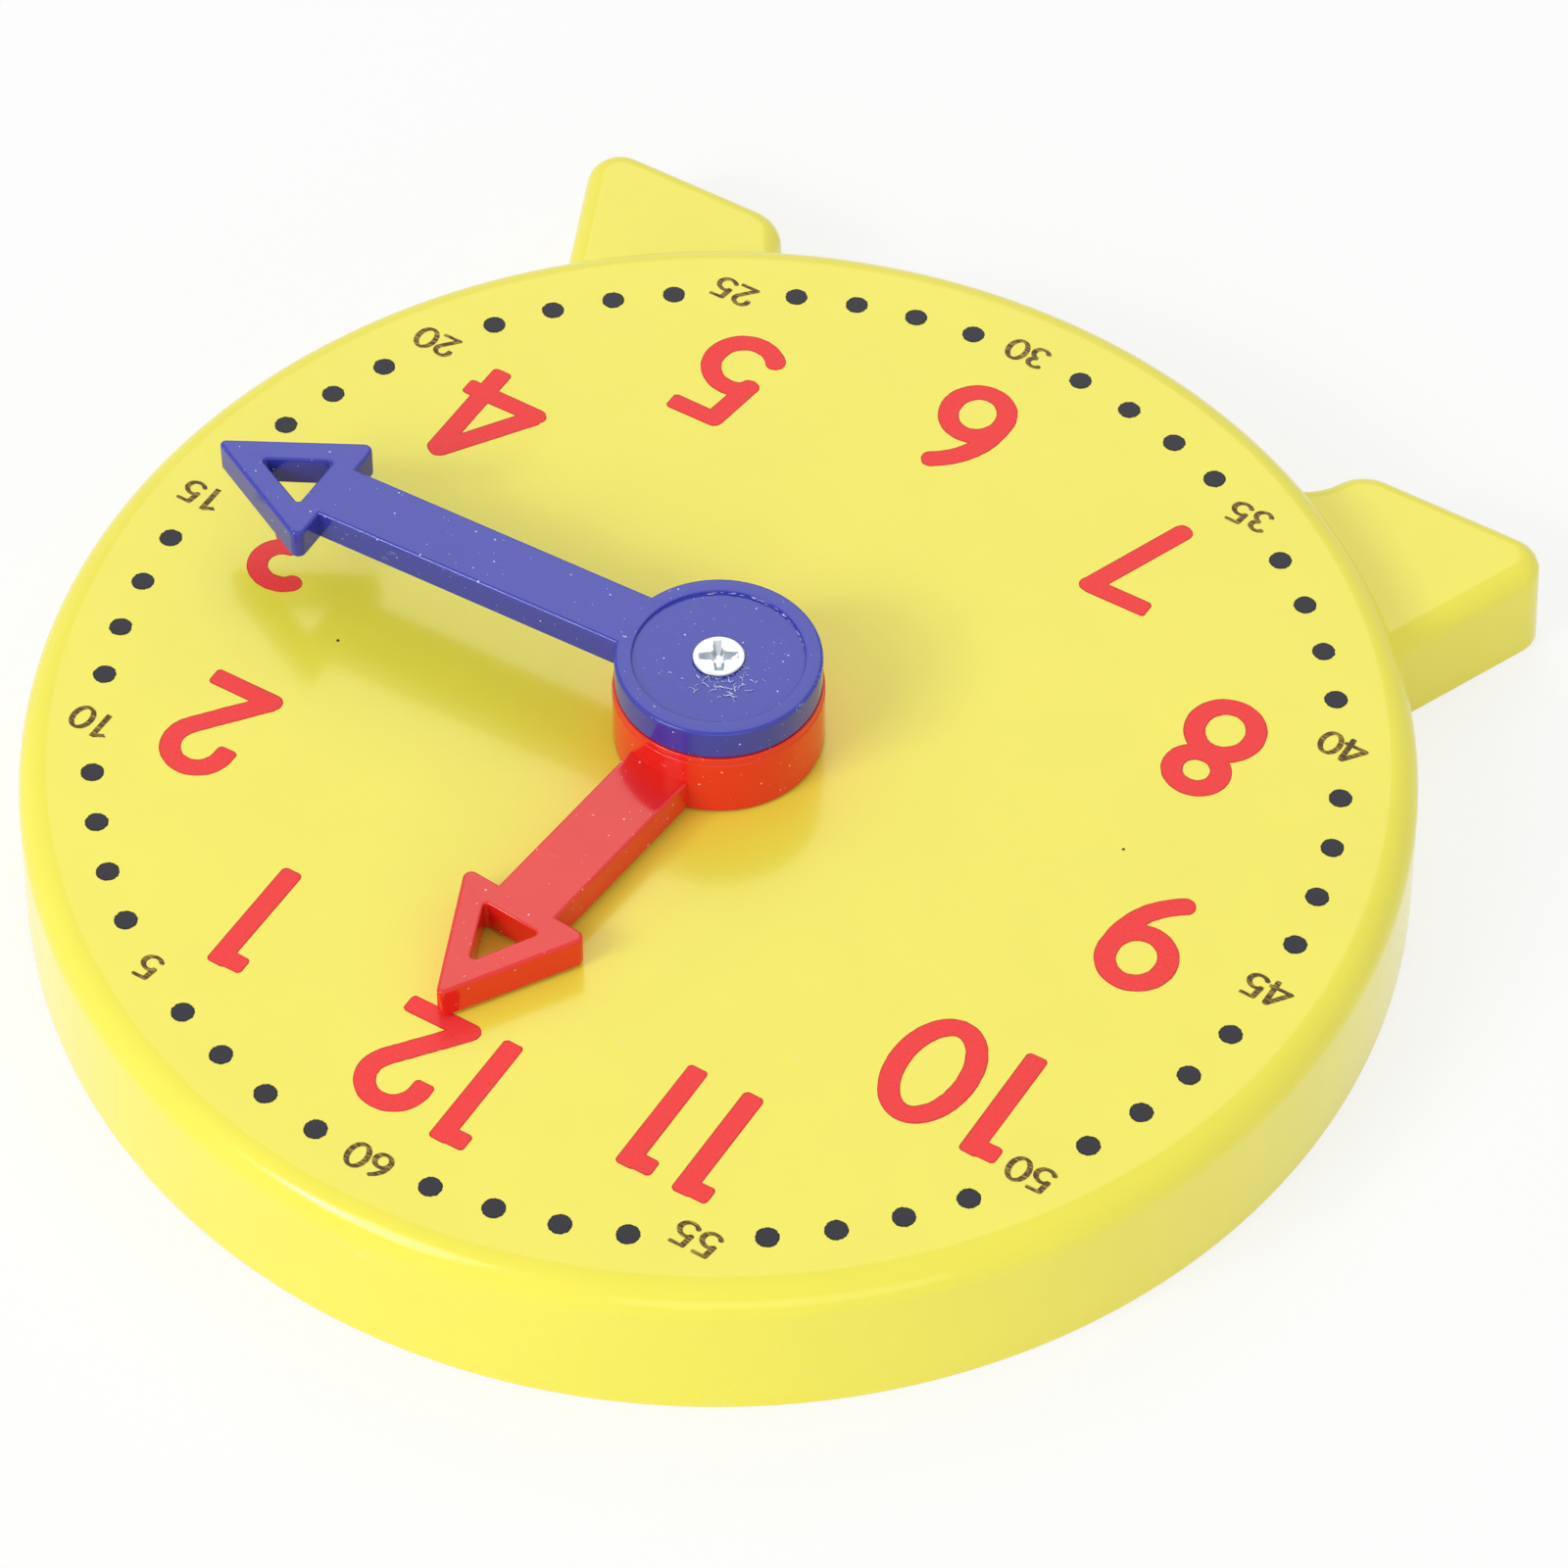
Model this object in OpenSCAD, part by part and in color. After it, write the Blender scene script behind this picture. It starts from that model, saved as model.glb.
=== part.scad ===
// Geared teaching clock: a two-hand student clock, shown lying on its back.
// The back rim lies on z = 0 and the hands turn about the Z axis.
// The dial faces +Z, 12 o'clock is +Y and 3 o'clock is +X. All sizes are in millimetres.

/* [Case] */
// Diameter of the case at its back rim
case_d = 100; // [88:1:140]
// Height from the back rim to the dial face
case_h = 11.8; // [11.2:0.1:16]
// How far the side wall draws in between the back rim and the dial
case_draft = 0.25; // [0:0.05:1]
// Radius of the rounded edge round the dial
edge_r = 2.2; // [0.8:0.1:2.6]
// Thickness of the dial
dial_t = 1.8; // [1.4:0.1:2.2]
// Thickness of the side wall
wall_t = 2.6; // [2.2:0.1:4]

/* [Feet] */
// How far the soles stand below the round of the case
foot_drop = 0.3; // [0.2:0.1:4]
// Angle from straight down to the outer corner of a sole
foot_angle = 40.3; // [34:0.1:44]
// Length of a sole, corner to corner
foot_sole = 18.9; // [15:0.1:22]
// Lean of a foot's outer edge
foot_lean = 23.5; // [8:0.1:28]
// Thickness of the feet, from the back plane
foot_t = 8.2; // [4:0.1:9]
// Radius of a foot's outer corner
foot_outer_r = 2.5; // [1.6:0.1:4]
// Radius of a foot's inner corner
foot_inner_r = 3.5; // [1.6:0.1:5]
// Radius of the fillet between a foot and the case
foot_fillet_r = 4.2; // [0.5:0.1:6]
// Wall left round the hollow in a foot
foot_wall = 1.6; // [1.2:0.1:2.2]
// Thickness of the rib across that hollow
foot_rib_t = 1.2; // [0.8:0.1:2]

/* [Back cover] */
// Thickness of the back cover
cover_t = 1.6; // [1.4:0.1:2]
// How deep the cover sits inside the back rim
cover_recess = 0.6; // [0.4:0.1:1]
// Width of the ledge that the cover rests on
cover_ledge = 1; // [0.6:0.1:1.4]
// Height of the bearing bosses on the inside of the cover
bearing_boss_h = 0.5; // [0.3:0.1:1]
// Number of cover screws
cover_screw_n = 3; // [3:1:4]
// Diameter of the posts that take the cover screws
post_d = 6; // [5:0.2:8]
// Distance from the inside of the wall to the middle of a screw post
post_inset = 6.4; // [5:0.2:9]

/* [Gears] */
// Module of the minute pinion and the idler wheel
module_low = 1; // [0.85:0.05:1.2]
// Teeth of each pinion
pinion_teeth = 10; // [10:1:10]
// Teeth of the idler wheel
idler_teeth = 30; // [30:1:30]
// Teeth of the hour wheel
hour_teeth = 40; // [40:1:40]
// Profile shift of the pinions, taken off the wheels, as a share of the module
gear_shift = 0.4; // [0.3:0.05:0.5]
// Play between meshing teeth, measured along the pitch circle
backlash = 0.2; // [0.12:0.02:0.3]
// Face width of the gears
gear_t = 2.2; // [1.8:0.1:2.6]
// Depth of the hollow on each side of a wheel's web
web_cut = 0.5; // [0.2:0.1:0.8]
// Diameter of the minute arbor
arbor_d = 4.4; // [4:0.1:5.2]
// Diameter of the arbor's foot in the cover
arbor_foot_d = 4; // [3:0.1:4.4]
// Thickness of the hour tube's wall
tube_wall = 1.35; // [1:0.05:1.8]
// Diameter of the idler pin
idler_pin_d = 2; // [1.6:0.1:2.6]
// Thickness of the friction washer under the arbor
washer_t = 0.3; // [0.2:0.1:0.5]

/* [Hands] */
// Clockwise angle of the minute hand from 12 o'clock
minute_angle = 88.4; // [0:0.2:360]
// Clockwise angle of the hour hand from 12 o'clock
hour_angle = 4.6; // [0:0.2:360]
// Distance from the rim of the case to the circle of minute dots
track_inset = 5.6; // [4:0.1:8]
// Gap from the minute hand's tip to that circle
tip_gap = 2.45; // [1:0.05:5]
// Distance from the middle to the hour hand's tip
hour_reach = 32.6; // [28:0.2:40]
// Width of both arms
arm_w = 5; // [4:0.1:6]
// Width of both arrowheads
head_w = 10.9; // [9:0.1:12]
// Length of both arrowheads
head_l = 10.4; // [9.6:0.1:12]
// Distance from the back of an arrowhead to its window
window_back = 1.8; // [1.4:0.1:2.4]
// Length of the windows
window_l = 4.75; // [3.6:0.05:5.4]
// Width of the windows at their back
window_w = 4.8; // [3.6:0.1:5.2]
// Radius of the arrowheads' back corners
head_corner_r = 0.6; // [0.3:0.1:1]
// Radius of the arrowheads' tips and the windows' corners
tip_r = 0.4; // [0.2:0.1:0.6]
// Diameter of the minute hand's hub
minute_hub_d = 14.7; // [13:0.1:17]
// Thickness of the minute hand
minute_t = 2.45; // [2.2:0.05:3]
// Diameter of the shallow recess in the minute hand's hub
hub_recess_d = 12.2; // [8:0.1:12.6]
// Depth of that recess
hub_recess_h = 0.25; // [0.1:0.05:0.4]
// Diameter of the hour hand's hub
hour_hub_d = 15.1; // [13:0.1:17]
// Height of the hour hand's hub
hour_hub_h = 5.45; // [4.4:0.05:7]
// Thickness of the hour hand's arm
hour_arm_t = 2.6; // [1.8:0.1:4]
// Height of the hour hand's arm above the bottom of its hub
hour_arm_lift = 0.2; // [0:0.1:1]

/* [Screws] */
// Head diameter of the hand screw
hand_head_d = 3.8; // [3.4:0.1:4.4]
// Shank diameter of the hand screw
hand_shank_d = 2; // [1.6:0.1:2.2]
// Length of the hand screw under its head
hand_screw_l = 6.2; // [5:0.1:8]
// Head diameter of the cover screws
cover_head_d = 4.2; // [3.6:0.1:4.6]
// Shank diameter of the cover screws
cover_shank_d = 2; // [1.6:0.1:2.4]
// Length of the cover screws, head included
cover_screw_l = 6; // [5:0.1:7]

/* [Fits] */
// Radial clearance of a shaft that turns in a bore
run_c = 0.05; // [0.02:0.01:0.1]
// Clearance round pieces that are fixed together
seat_c = 0.03; // [0.02:0.01:0.06]
// Gap between faces that turn on each other
end_play = 0.1; // [0.05:0.05:0.2]
// Gap between the dial and the hour hand
dial_gap = 0.2; // [0.1:0.05:0.5]
// Gap round the edge of the back cover
cover_c = 0.2; // [0.1:0.05:0.4]

/* [Hidden] */
$fn = 96;
// Hair's breadth that keeps two faces from lying in one plane
EPS = 0.01;
// How far a cut runs past the face it opens
CUT = 1;
// How far a boss or rib reaches into what it grows from
EMBED = 0.5;
// Straight pieces in a rounded corner
arc_steps = 8;

// Walls and steps round the shafts
collar_step = 0.2;
wheel_hub_wall = 1.6;
boss_margin = 0.6;
pad_margin = 2;
pin_boss_wall = 1.8;
idler_hub_wall = 1;
bearing_boss_margin = 0.4;
washer_margin = 0.2;
washer_c = 0.1;
wheel_rim_t = 1.4;

// Radii
case_r = case_d / 2;
inner_r = case_r - wall_t;
rebate_r = inner_r + cover_ledge;
arbor_r = arbor_d / 2;
foot_pin_r = arbor_foot_d / 2;
tube_bore_r = arbor_r + run_c;
tube_r = tube_bore_r + tube_wall;
pin_r = idler_pin_d / 2;
hour_bore_r = tube_r + seat_c;
collar_r = tube_r + collar_step;
wheel_hub_r = tube_r + wheel_hub_wall;
boss_r = wheel_hub_r + boss_margin;
pin_boss_r = pin_r + pin_boss_wall;
hand_shank_r = hand_shank_d / 2;
cover_shank_r = cover_shank_d / 2;
hand_head_r = hand_head_d / 2;
cover_head_r = cover_head_d / 2;

// Heights inside the case, from the back plane up
floor_z = cover_recess + cover_t;
ceiling_z = case_h - dial_t;
bearing_z = floor_z + bearing_boss_h;
low_z = bearing_z + washer_t + end_play;
low_top_z = low_z + gear_t;
ceiling_boss_h = 0.4;
high_gap = 1.2;
collar_h = 0.45;
idler_hub_h = 0.2;
blind_floor_t = 0.6;
pad_h = 0.3;
pin_grip = dial_t / 2;
hour_top_z = ceiling_z - ceiling_boss_h - end_play;
high_top_z = ceiling_z - high_gap;
high_z = high_top_z - gear_t;
collar_top_z = low_top_z + collar_h;
hour_bottom_z = collar_top_z + end_play;
idler_top_z = high_top_z + idler_hub_h;
blind_z = cover_recess + blind_floor_t;

// Heights above the dial
hour_hub_z = case_h + dial_gap;
hour_hub_top_z = hour_hub_z + hour_hub_h;
minute_z = hour_hub_top_z + end_play;
top_z = minute_z + minute_t;
recess_z = top_z - hub_recess_h;
socket_web = 1;
socket_top_z = recess_z - socket_web;
socket_c = 0.05;
tube_inset = 0.2;
tube_top_z = hour_hub_top_z - tube_inset;

// Flats that key each hand to its shaft
flat_depth = 0.5;
flat_lift = 0.6;
flat_z = case_h + flat_lift;
tube_flat = tube_r - flat_depth;
arbor_flat = arbor_r - flat_depth;

// Screws: straight rim of the head, point, cross recess, and the hole past the point
cover_rim_h = 0.15;
hand_rim_h = hub_recess_h;
screw_point_h = 1;
cross_share = 1.15;
cross_depth = 0.55;
cross_slot = 2 / 9;
cross_tip_h = 0.2;
hole_over = 0.6;
hand_hole_over = 0.3;
cover_screw_turn = 25;
hand_screw_turn = 15;

// Feet, the one at +X
ground_y = -(case_r + foot_drop);
foot_out_x = -ground_y * tan(foot_angle);
foot_in_x = foot_out_x - foot_sole;
foot_root_r = case_r - wall_t / 2;
fillet_root = 0.4;
hidden_corner_r = 0.1;

// Ribs between the screw posts and the side wall
post_rib_t = 1.4;
post_rib_lift = 1;

// The gear train: two pairs share one centre distance and together turn the hours at 1/12
centre_d = module_low * (pinion_teeth + idler_teeth) / 2;
module_high = 2 * centre_d / (pinion_teeth + hour_teeth);
pressure_angle = 20;
root_depth = 1.25;
tip_cut = 0.2;
flank_steps = 5;
idler_dir = -90;
idler_pos = centre_d * [cos(idler_dir), sin(idler_dir)];
minute_reach = case_r - track_inset - tip_gap;

// Screw posts of the cover, the first at 12 o'clock
post_ring_r = inner_r - post_inset;
function post_pos(i) = let (a = 90 + 360 * i / cover_screw_n) post_ring_r * [cos(a), sin(a)];

// Unit vector of v
function unit(v) = v / norm(v);

// A convex outline with rounded corners: r holds one radius for each corner
module rounded_polygon(p, r) {
    n = len(p);
    polygon([for (i = [0 : n - 1], q = corner_arc(p[(i + n - 1) % n], p[i], p[(i + 1) % n], r[i])) q]);
}

// Points of the arc of radius r that rounds the corner b, on the way from a to c
function corner_arc(a, b, c, r) =
    let (u = unit(a - b), v = unit(c - b), half = acos(u * v) / 2,
         middle = b + unit(u + v) * r / sin(half),
         start = b + u * r / tan(half) - middle,
         turn = sign(cross(b - a, c - b)) * (180 - 2 * half))
    [for (k = [0 : arc_steps]) middle + turned(start, turn * k / arc_steps)];

// Vector v turned by the angle a
function turned(v, a) = [v[0] * cos(a) - v[1] * sin(a), v[0] * sin(a) + v[1] * cos(a)];

// Involute function, in degrees
function inv(a) = tan(a) * 180 / PI - a;

// Outline of a spur gear with a tooth centred on the X axis
module gear_outline(m, teeth, shift) {
    pitch_r = m * teeth / 2;
    base_r = pitch_r * cos(pressure_angle);
    root_r = pitch_r - m * (root_depth - shift);
    tip_r = pitch_r + m * (1 + shift - (shift > 0 ? tip_cut : 0));
    start_r = max(base_r, root_r) + EPS;
    tooth_w = m * (PI / 2 + 2 * shift * tan(pressure_angle)) - backlash / 2;
    pitch_half = tooth_w / (2 * pitch_r) * 180 / PI + inv(pressure_angle);
    radii = [for (i = [0 : flank_steps]) start_r + (tip_r - start_r) * i / flank_steps];
    half = [for (r = radii) pitch_half - inv(acos(base_r / r))];
    rising = concat([[root_r, -half[0]]], [for (i = [0 : flank_steps]) [radii[i], -half[i]]]);
    falling = concat([for (i = [flank_steps : -1 : 0]) [radii[i], half[i]]], [[root_r, half[0]]]);
    tooth = concat(rising, falling);
    polygon([for (t = [0 : teeth - 1], q = tooth)
        q[0] * [cos(q[1] + 360 * t / teeth), sin(q[1] + 360 * t / teeth)]]);
}

// Circular groove between two radii, cut into a face
module groove(r_in, r_out, h) {
    difference() {
        cylinder(r = r_out, h = h);
        translate([0, 0, -EPS]) cylinder(r = r_in, h = h + 2 * EPS);
    }
}

// Round bar with two flats, 2 * flat wide across them
module double_d(r, flat, h) {
    difference() {
        cylinder(r = r, h = h);
        flats(r, flat, h);
    }
}

// What two flats take off a round bar of radius r, over the height h and all above it
module flats(r, flat, h) {
    for (s = [-1, 1]) translate([s > 0 ? flat : -flat - r, -r - CUT, -CUT])
        cube([r, 2 * (r + CUT), h + 2 * CUT]);
}

// Cross recess of a screw, cut down from z = 0
module cross_recess(across, depth) {
    slot_w = across * cross_slot;
    for (a = [0, 90]) rotate(a) translate([-across / 2, -slot_w / 2, -depth])
        cube([across, slot_w, depth + CUT]);
    translate([0, 0, -depth - cross_tip_h])
        cylinder(r1 = slot_w / 3, r2 = slot_w, h = depth + 2 * cross_tip_h);
}

// Countersunk head with its flat top at z = 0, grown by c all round for its seat
module countersink(head_r, shank_r, rim_h, c) {
    translate([0, 0, -rim_h - c]) cylinder(r = head_r + c, h = rim_h + c);
    translate([0, 0, -rim_h - c - (head_r - shank_r)])
        cylinder(r1 = shank_r + c, r2 = head_r + c, h = head_r - shank_r);
}

// Countersunk screw with its flat top at z = 0, pointing down
module screw(head_r, shank_r, rim_h, length) {
    point_z = screw_point_h - length;
    difference() {
        union() {
            countersink(head_r, shank_r, rim_h, 0);
            translate([0, 0, point_z]) cylinder(r = shank_r, h = -point_z - rim_h);
            translate([0, 0, -length]) cylinder(r1 = shank_r / 3, r2 = shank_r, h = screw_point_h);
        }
        cross_recess(head_r * cross_share, rim_h + cross_depth);
    }
}

// ---- Case ----

// Half section of the case's outside
module case_profile() {
    side_r = case_r - case_draft;
    polygon([[0, 0], [case_r, 0], [side_r, case_h - edge_r], [side_r - edge_r, case_h - edge_r],
             [side_r - edge_r, case_h], [0, case_h]]);
    translate([side_r - edge_r, case_h - edge_r]) circle(edge_r);
}

// Point where a foot's leaning edge, moved in by c, reaches the radius r
function lean_point(c, r) =
    let (u = [-sin(foot_lean), cos(foot_lean)],
         p = [foot_out_x - c / cos(foot_lean), ground_y],
         along = p * u)
    p + u * (-along - sqrt(along * along - p * p + r * r));

// Four corners of the foot at +X, moved in by c, with its upper ends at the radius r
function foot_corners(c, r) = [
    [foot_out_x - c / cos(foot_lean) - c * tan(foot_lean), ground_y + c],
    lean_point(c, r),
    [foot_in_x + c, -sqrt(r * r - pow(foot_in_x + c, 2))],
    [foot_in_x + c, ground_y + c]];

// Centre of the arc of a foot's inner corner, and of the fillet that touches its inner side and the case
foot_inner_c = [foot_in_x + foot_inner_r, ground_y + foot_inner_r];
side_fillet_x = foot_in_x - foot_fillet_r;
side_fillet_c = [side_fillet_x, -sqrt(pow(case_r + foot_fillet_r, 2) - side_fillet_x * side_fillet_x)];

// Centre of the fillet that touches the inner corner's arc and the case instead
function corner_fillet_c() =
    let (far = case_r + foot_fillet_r,
         near = foot_inner_r + foot_fillet_r,
         d = norm(foot_inner_c),
         u = foot_inner_c / d,
         along = (far * far - near * near + d * d) / (2 * d))
    along * u + sqrt(far * far - along * along) * [u[1], -u[0]];

// Outline of the foot at +X, with its fillet to the case
module foot_outline() {
    rounded_polygon(foot_corners(0, foot_root_r),
                    [foot_outer_r, hidden_corner_r, hidden_corner_r, foot_inner_r]);
    on_side = side_fillet_c[1] > foot_inner_c[1];
    fillet_c = on_side ? side_fillet_c : corner_fillet_c();
    to_foot = on_side ? [1, 0] : (foot_inner_c - fillet_c) / norm(foot_inner_c - fillet_c);
    difference() {
        polygon([fillet_c,
                 fillet_c * (case_r - fillet_root) / norm(fillet_c),
                 [foot_inner_c[0], fillet_root - sqrt(case_r * case_r - foot_inner_c[0] * foot_inner_c[0])],
                 fillet_c + to_foot * (foot_fillet_r + fillet_root)]);
        translate(fillet_c) circle(foot_fillet_r);
    }
}

// Hollow of the foot at +X, split by one rib
module foot_hollow() {
    p = foot_corners(foot_wall, foot_root_r);
    rib_x = (p[0][0] + p[3][0]) / 2;
    difference() {
        rounded_polygon(p, [max(foot_outer_r - foot_wall, hidden_corner_r), hidden_corner_r, hidden_corner_r,
                            max(foot_inner_r - foot_wall, hidden_corner_r)]);
        circle(case_r);
        translate([rib_x - foot_rib_t / 2, ground_y]) square([foot_rib_t, case_r]);
    }
}

module both_feet() {
    children();
    mirror([1, 0, 0]) children();
}

// One-piece moulding: dial, side wall and feet, open at the back
module case() {
    color("#fdf271") difference() {
        union() {
            difference() {
                union() {
                    rotate_extrude() case_profile();
                    both_feet() linear_extrude(foot_t) foot_outline();
                }
                translate([0, 0, -CUT]) cylinder(r = inner_r, h = ceiling_z + CUT);
                translate([0, 0, -CUT]) cylinder(r = rebate_r, h = floor_z + CUT);
                both_feet() translate([0, 0, -CUT]) linear_extrude(foot_t - foot_wall + CUT) foot_hollow();
            }
            translate([0, 0, ceiling_z - ceiling_boss_h]) cylinder(r = boss_r, h = ceiling_boss_h + EMBED);
            translate([idler_pos[0], idler_pos[1], idler_top_z + end_play])
                cylinder(r = pin_boss_r, h = ceiling_z - idler_top_z);
            for (i = [0 : cover_screw_n - 1]) screw_post(post_pos(i));
        }
        translate([0, 0, ceiling_z - 2 * CUT]) cylinder(r = tube_r + run_c, h = dial_t + 3 * CUT);
        translate([idler_pos[0], idler_pos[1], ceiling_z - 2 * CUT])
            cylinder(r = pin_r + seat_c, h = 2 * CUT + pin_grip);
        for (i = [0 : cover_screw_n - 1]) translate([post_pos(i)[0], post_pos(i)[1], floor_z - CUT])
            cylinder(r = cover_shank_r + seat_c, h = cover_screw_l - cover_t + hole_over + CUT);
    }
}

// Post for a cover screw, with a rib to the side wall
module screw_post(p) {
    post_h = ceiling_z - floor_z + EMBED;
    translate([p[0], p[1], floor_z]) cylinder(d = post_d, h = post_h);
    rotate(atan2(p[1], p[0])) translate([norm(p), -post_rib_t / 2, floor_z + post_rib_lift])
        cube([inner_r - norm(p) + EMBED, post_rib_t, post_h - post_rib_lift]);
}

// ---- Back ----

module back_cover() {
    color("#fbee6a") difference() {
        union() {
            translate([0, 0, cover_recess]) cylinder(r = rebate_r - cover_c, h = cover_t);
            translate([0, 0, cover_recess - pad_h]) cylinder(r = boss_r + pad_margin, h = pad_h + EMBED);
            translate([0, 0, floor_z - EMBED])
                cylinder(r = collar_r + bearing_boss_margin, h = bearing_boss_h + EMBED);
            translate([idler_pos[0], idler_pos[1], floor_z - EMBED])
                cylinder(r = pin_boss_r, h = bearing_boss_h + washer_t + EMBED);
        }
        translate([0, 0, blind_z]) cylinder(r = foot_pin_r + run_c, h = low_z);
        translate([idler_pos[0], idler_pos[1], blind_z]) cylinder(r = pin_r + seat_c, h = low_z);
        for (i = [0 : cover_screw_n - 1]) translate([post_pos(i)[0], post_pos(i)[1], cover_recess])
            mirror([0, 0, 1]) {
                countersink(cover_head_r, cover_shank_r, cover_rim_h, seat_c);
                translate([0, 0, -cover_t - CUT]) cylinder(r = cover_shank_r + seat_c, h = cover_t + CUT);
                cylinder(r = cover_head_r + seat_c, h = CUT);
            }
    }
}

module cover_screws() {
    color("#c9cbcf") for (i = [0 : cover_screw_n - 1])
        translate([post_pos(i)[0], post_pos(i)[1], cover_recess]) mirror([0, 0, 1])
            rotate(cover_screw_turn * i) screw(cover_head_r, cover_shank_r, cover_rim_h, cover_screw_l);
}

// ---- Gear train ----

module idler_pin() {
    color("#b8babd") translate([idler_pos[0], idler_pos[1], blind_z + EPS])
        cylinder(r = pin_r, h = ceiling_z + pin_grip - blind_z - 2 * EPS);
}

// Toothed wheel with a thinner web between its rim and its hub
module wheel(m, teeth, hub_r) {
    rim_r = m * (teeth / 2 - root_depth - gear_shift) - wheel_rim_t;
    difference() {
        linear_extrude(gear_t) gear_outline(m, teeth, -gear_shift);
        translate([0, 0, -EPS]) groove(hub_r, rim_r, web_cut + EPS);
        translate([0, 0, gear_t - web_cut]) groove(hub_r, rim_r, web_cut + EPS);
    }
}

// Idler: the wheel meets the minute pinion, its own pinion meets the hour wheel
module idler_gear() {
    wheel_phase = idler_dir + 180 + 180 / idler_teeth;
    pinion_phase = idler_dir + 180;
    pinion_z = low_top_z - gear_t / 2;
    color("#f4f4ef") translate([idler_pos[0], idler_pos[1], 0]) difference() {
        union() {
            translate([0, 0, low_z]) rotate(wheel_phase)
                wheel(module_low, idler_teeth, module_high * pinion_teeth / 2 + idler_hub_wall);
            translate([0, 0, pinion_z]) rotate(pinion_phase) linear_extrude(idler_top_z - pinion_z)
                gear_outline(module_high, pinion_teeth, gear_shift);
        }
        translate([0, 0, low_z - CUT]) cylinder(r = pin_r + run_c, h = idler_top_z - low_z + 2 * CUT);
    }
}

module friction_washer() {
    color("#9b9ea3") translate([0, 0, bearing_z])
        groove(foot_pin_r + washer_c, collar_r + washer_margin, washer_t);
}

// Minute pinion and shaft in one: its foot turns in the cover, its top carries the minute hand
module minute_arbor() {
    foot_z = blind_z + end_play;
    hole_z = top_z - hand_screw_l - hand_rim_h - hand_hole_over;
    color("#f4f4ef") difference() {
        union() {
            translate([0, 0, foot_z]) cylinder(r = foot_pin_r, h = low_top_z - foot_z);
            translate([0, 0, low_z]) rotate(idler_dir) linear_extrude(gear_t)
                gear_outline(module_low, pinion_teeth, gear_shift);
            translate([0, 0, low_top_z]) cylinder(r = collar_r, h = collar_h);
            translate([0, 0, low_top_z]) cylinder(r = arbor_r, h = socket_top_z - socket_c - low_top_z);
        }
        rotate(90 - minute_angle) translate([0, 0, minute_z - socket_c + CUT])
            flats(arbor_r, arbor_flat, minute_t);
        translate([0, 0, hole_z]) cylinder(r = hand_shank_r + seat_c, h = hand_screw_l + 2 * CUT);
    }
}

// Hour wheel and tube in one: the tube passes through the dial and carries the hour hand
module hour_wheel() {
    color("#f4f4ef") difference() {
        union() {
            translate([0, 0, high_z]) rotate(idler_dir + 180 / hour_teeth)
                wheel(module_high, hour_teeth, wheel_hub_r);
            translate([0, 0, hour_bottom_z]) cylinder(r = wheel_hub_r, h = hour_top_z - hour_bottom_z);
            translate([0, 0, hour_bottom_z]) cylinder(r = tube_r, h = tube_top_z - hour_bottom_z);
        }
        rotate(90 - hour_angle) translate([0, 0, flat_z + CUT]) flats(tube_r, tube_flat, hour_hub_h);
        translate([0, 0, hour_bottom_z - CUT])
            cylinder(r = tube_bore_r, h = tube_top_z - hour_bottom_z + 2 * CUT);
    }
}

// ---- Hands ----

// Outline of an arm and its arrowhead, pointing along +X
module hand_outline(reach) {
    back_x = reach - head_l;
    window_x = back_x + window_back;
    difference() {
        union() {
            translate([0, -arm_w / 2]) square([back_x + window_back / 2, arm_w]);
            rounded_polygon([[reach, 0], [back_x, head_w / 2], [back_x, -head_w / 2]],
                            [tip_r, head_corner_r, head_corner_r]);
        }
        rounded_polygon([[window_x + window_l, 0], [window_x, window_w / 2], [window_x, -window_w / 2]],
                        [tip_r / 2, tip_r / 2, tip_r / 2]);
    }
}

module hour_hand() {
    color("#fa5049") rotate(90 - hour_angle) difference() {
        union() {
            translate([0, 0, hour_hub_z]) cylinder(d = hour_hub_d, h = hour_hub_h);
            translate([0, 0, hour_hub_z + hour_arm_lift]) linear_extrude(hour_arm_t) hand_outline(hour_reach);
        }
        translate([0, 0, hour_hub_z - CUT]) cylinder(r = hour_bore_r, h = flat_z + seat_c - hour_hub_z + CUT);
        translate([0, 0, hour_hub_z - CUT]) double_d(hour_bore_r, tube_flat + seat_c, hour_hub_h + 2 * CUT);
    }
}

module minute_hand() {
    color("#5d62b8") rotate(90 - minute_angle) difference() {
        union() {
            translate([0, 0, minute_z]) cylinder(d = minute_hub_d, h = minute_t);
            translate([0, 0, minute_z]) linear_extrude(minute_t) hand_outline(minute_reach);
        }
        translate([0, 0, recess_z]) cylinder(d = hub_recess_d, h = CUT);
        translate([0, 0, minute_z - CUT])
            double_d(arbor_r + seat_c, arbor_flat + seat_c, socket_top_z - minute_z + CUT);
        translate([0, 0, top_z]) countersink(hand_head_r, hand_shank_r, hand_rim_h, seat_c);
        translate([0, 0, minute_z]) cylinder(r = hand_shank_r + seat_c, h = minute_t);
    }
}

module hand_screw() {
    color("#dfe1e4") translate([0, 0, top_z]) rotate(hand_screw_turn)
        screw(hand_head_r, hand_shank_r, hand_rim_h, hand_screw_l);
}

case();
back_cover();
cover_screws();
idler_pin();
idler_gear();
friction_washer();
minute_arbor();
hour_wheel();
hour_hand();
minute_hand();
hand_screw();
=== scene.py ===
"""Looks of the geared teaching clock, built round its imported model.

Shapes are worked out in millimetres, in the model's own frame: the back rim lies on z = 0, the hands turn
about the Z axis, 12 o'clock is +Y and 3 o'clock is +X. They are scaled to metres when a mesh is made.
"""

import math
import random
from collections import Counter

import bmesh
import bpy
from mathutils import Matrix, Vector
from mathutils.geometry import delaunay_2d_cdt


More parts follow.
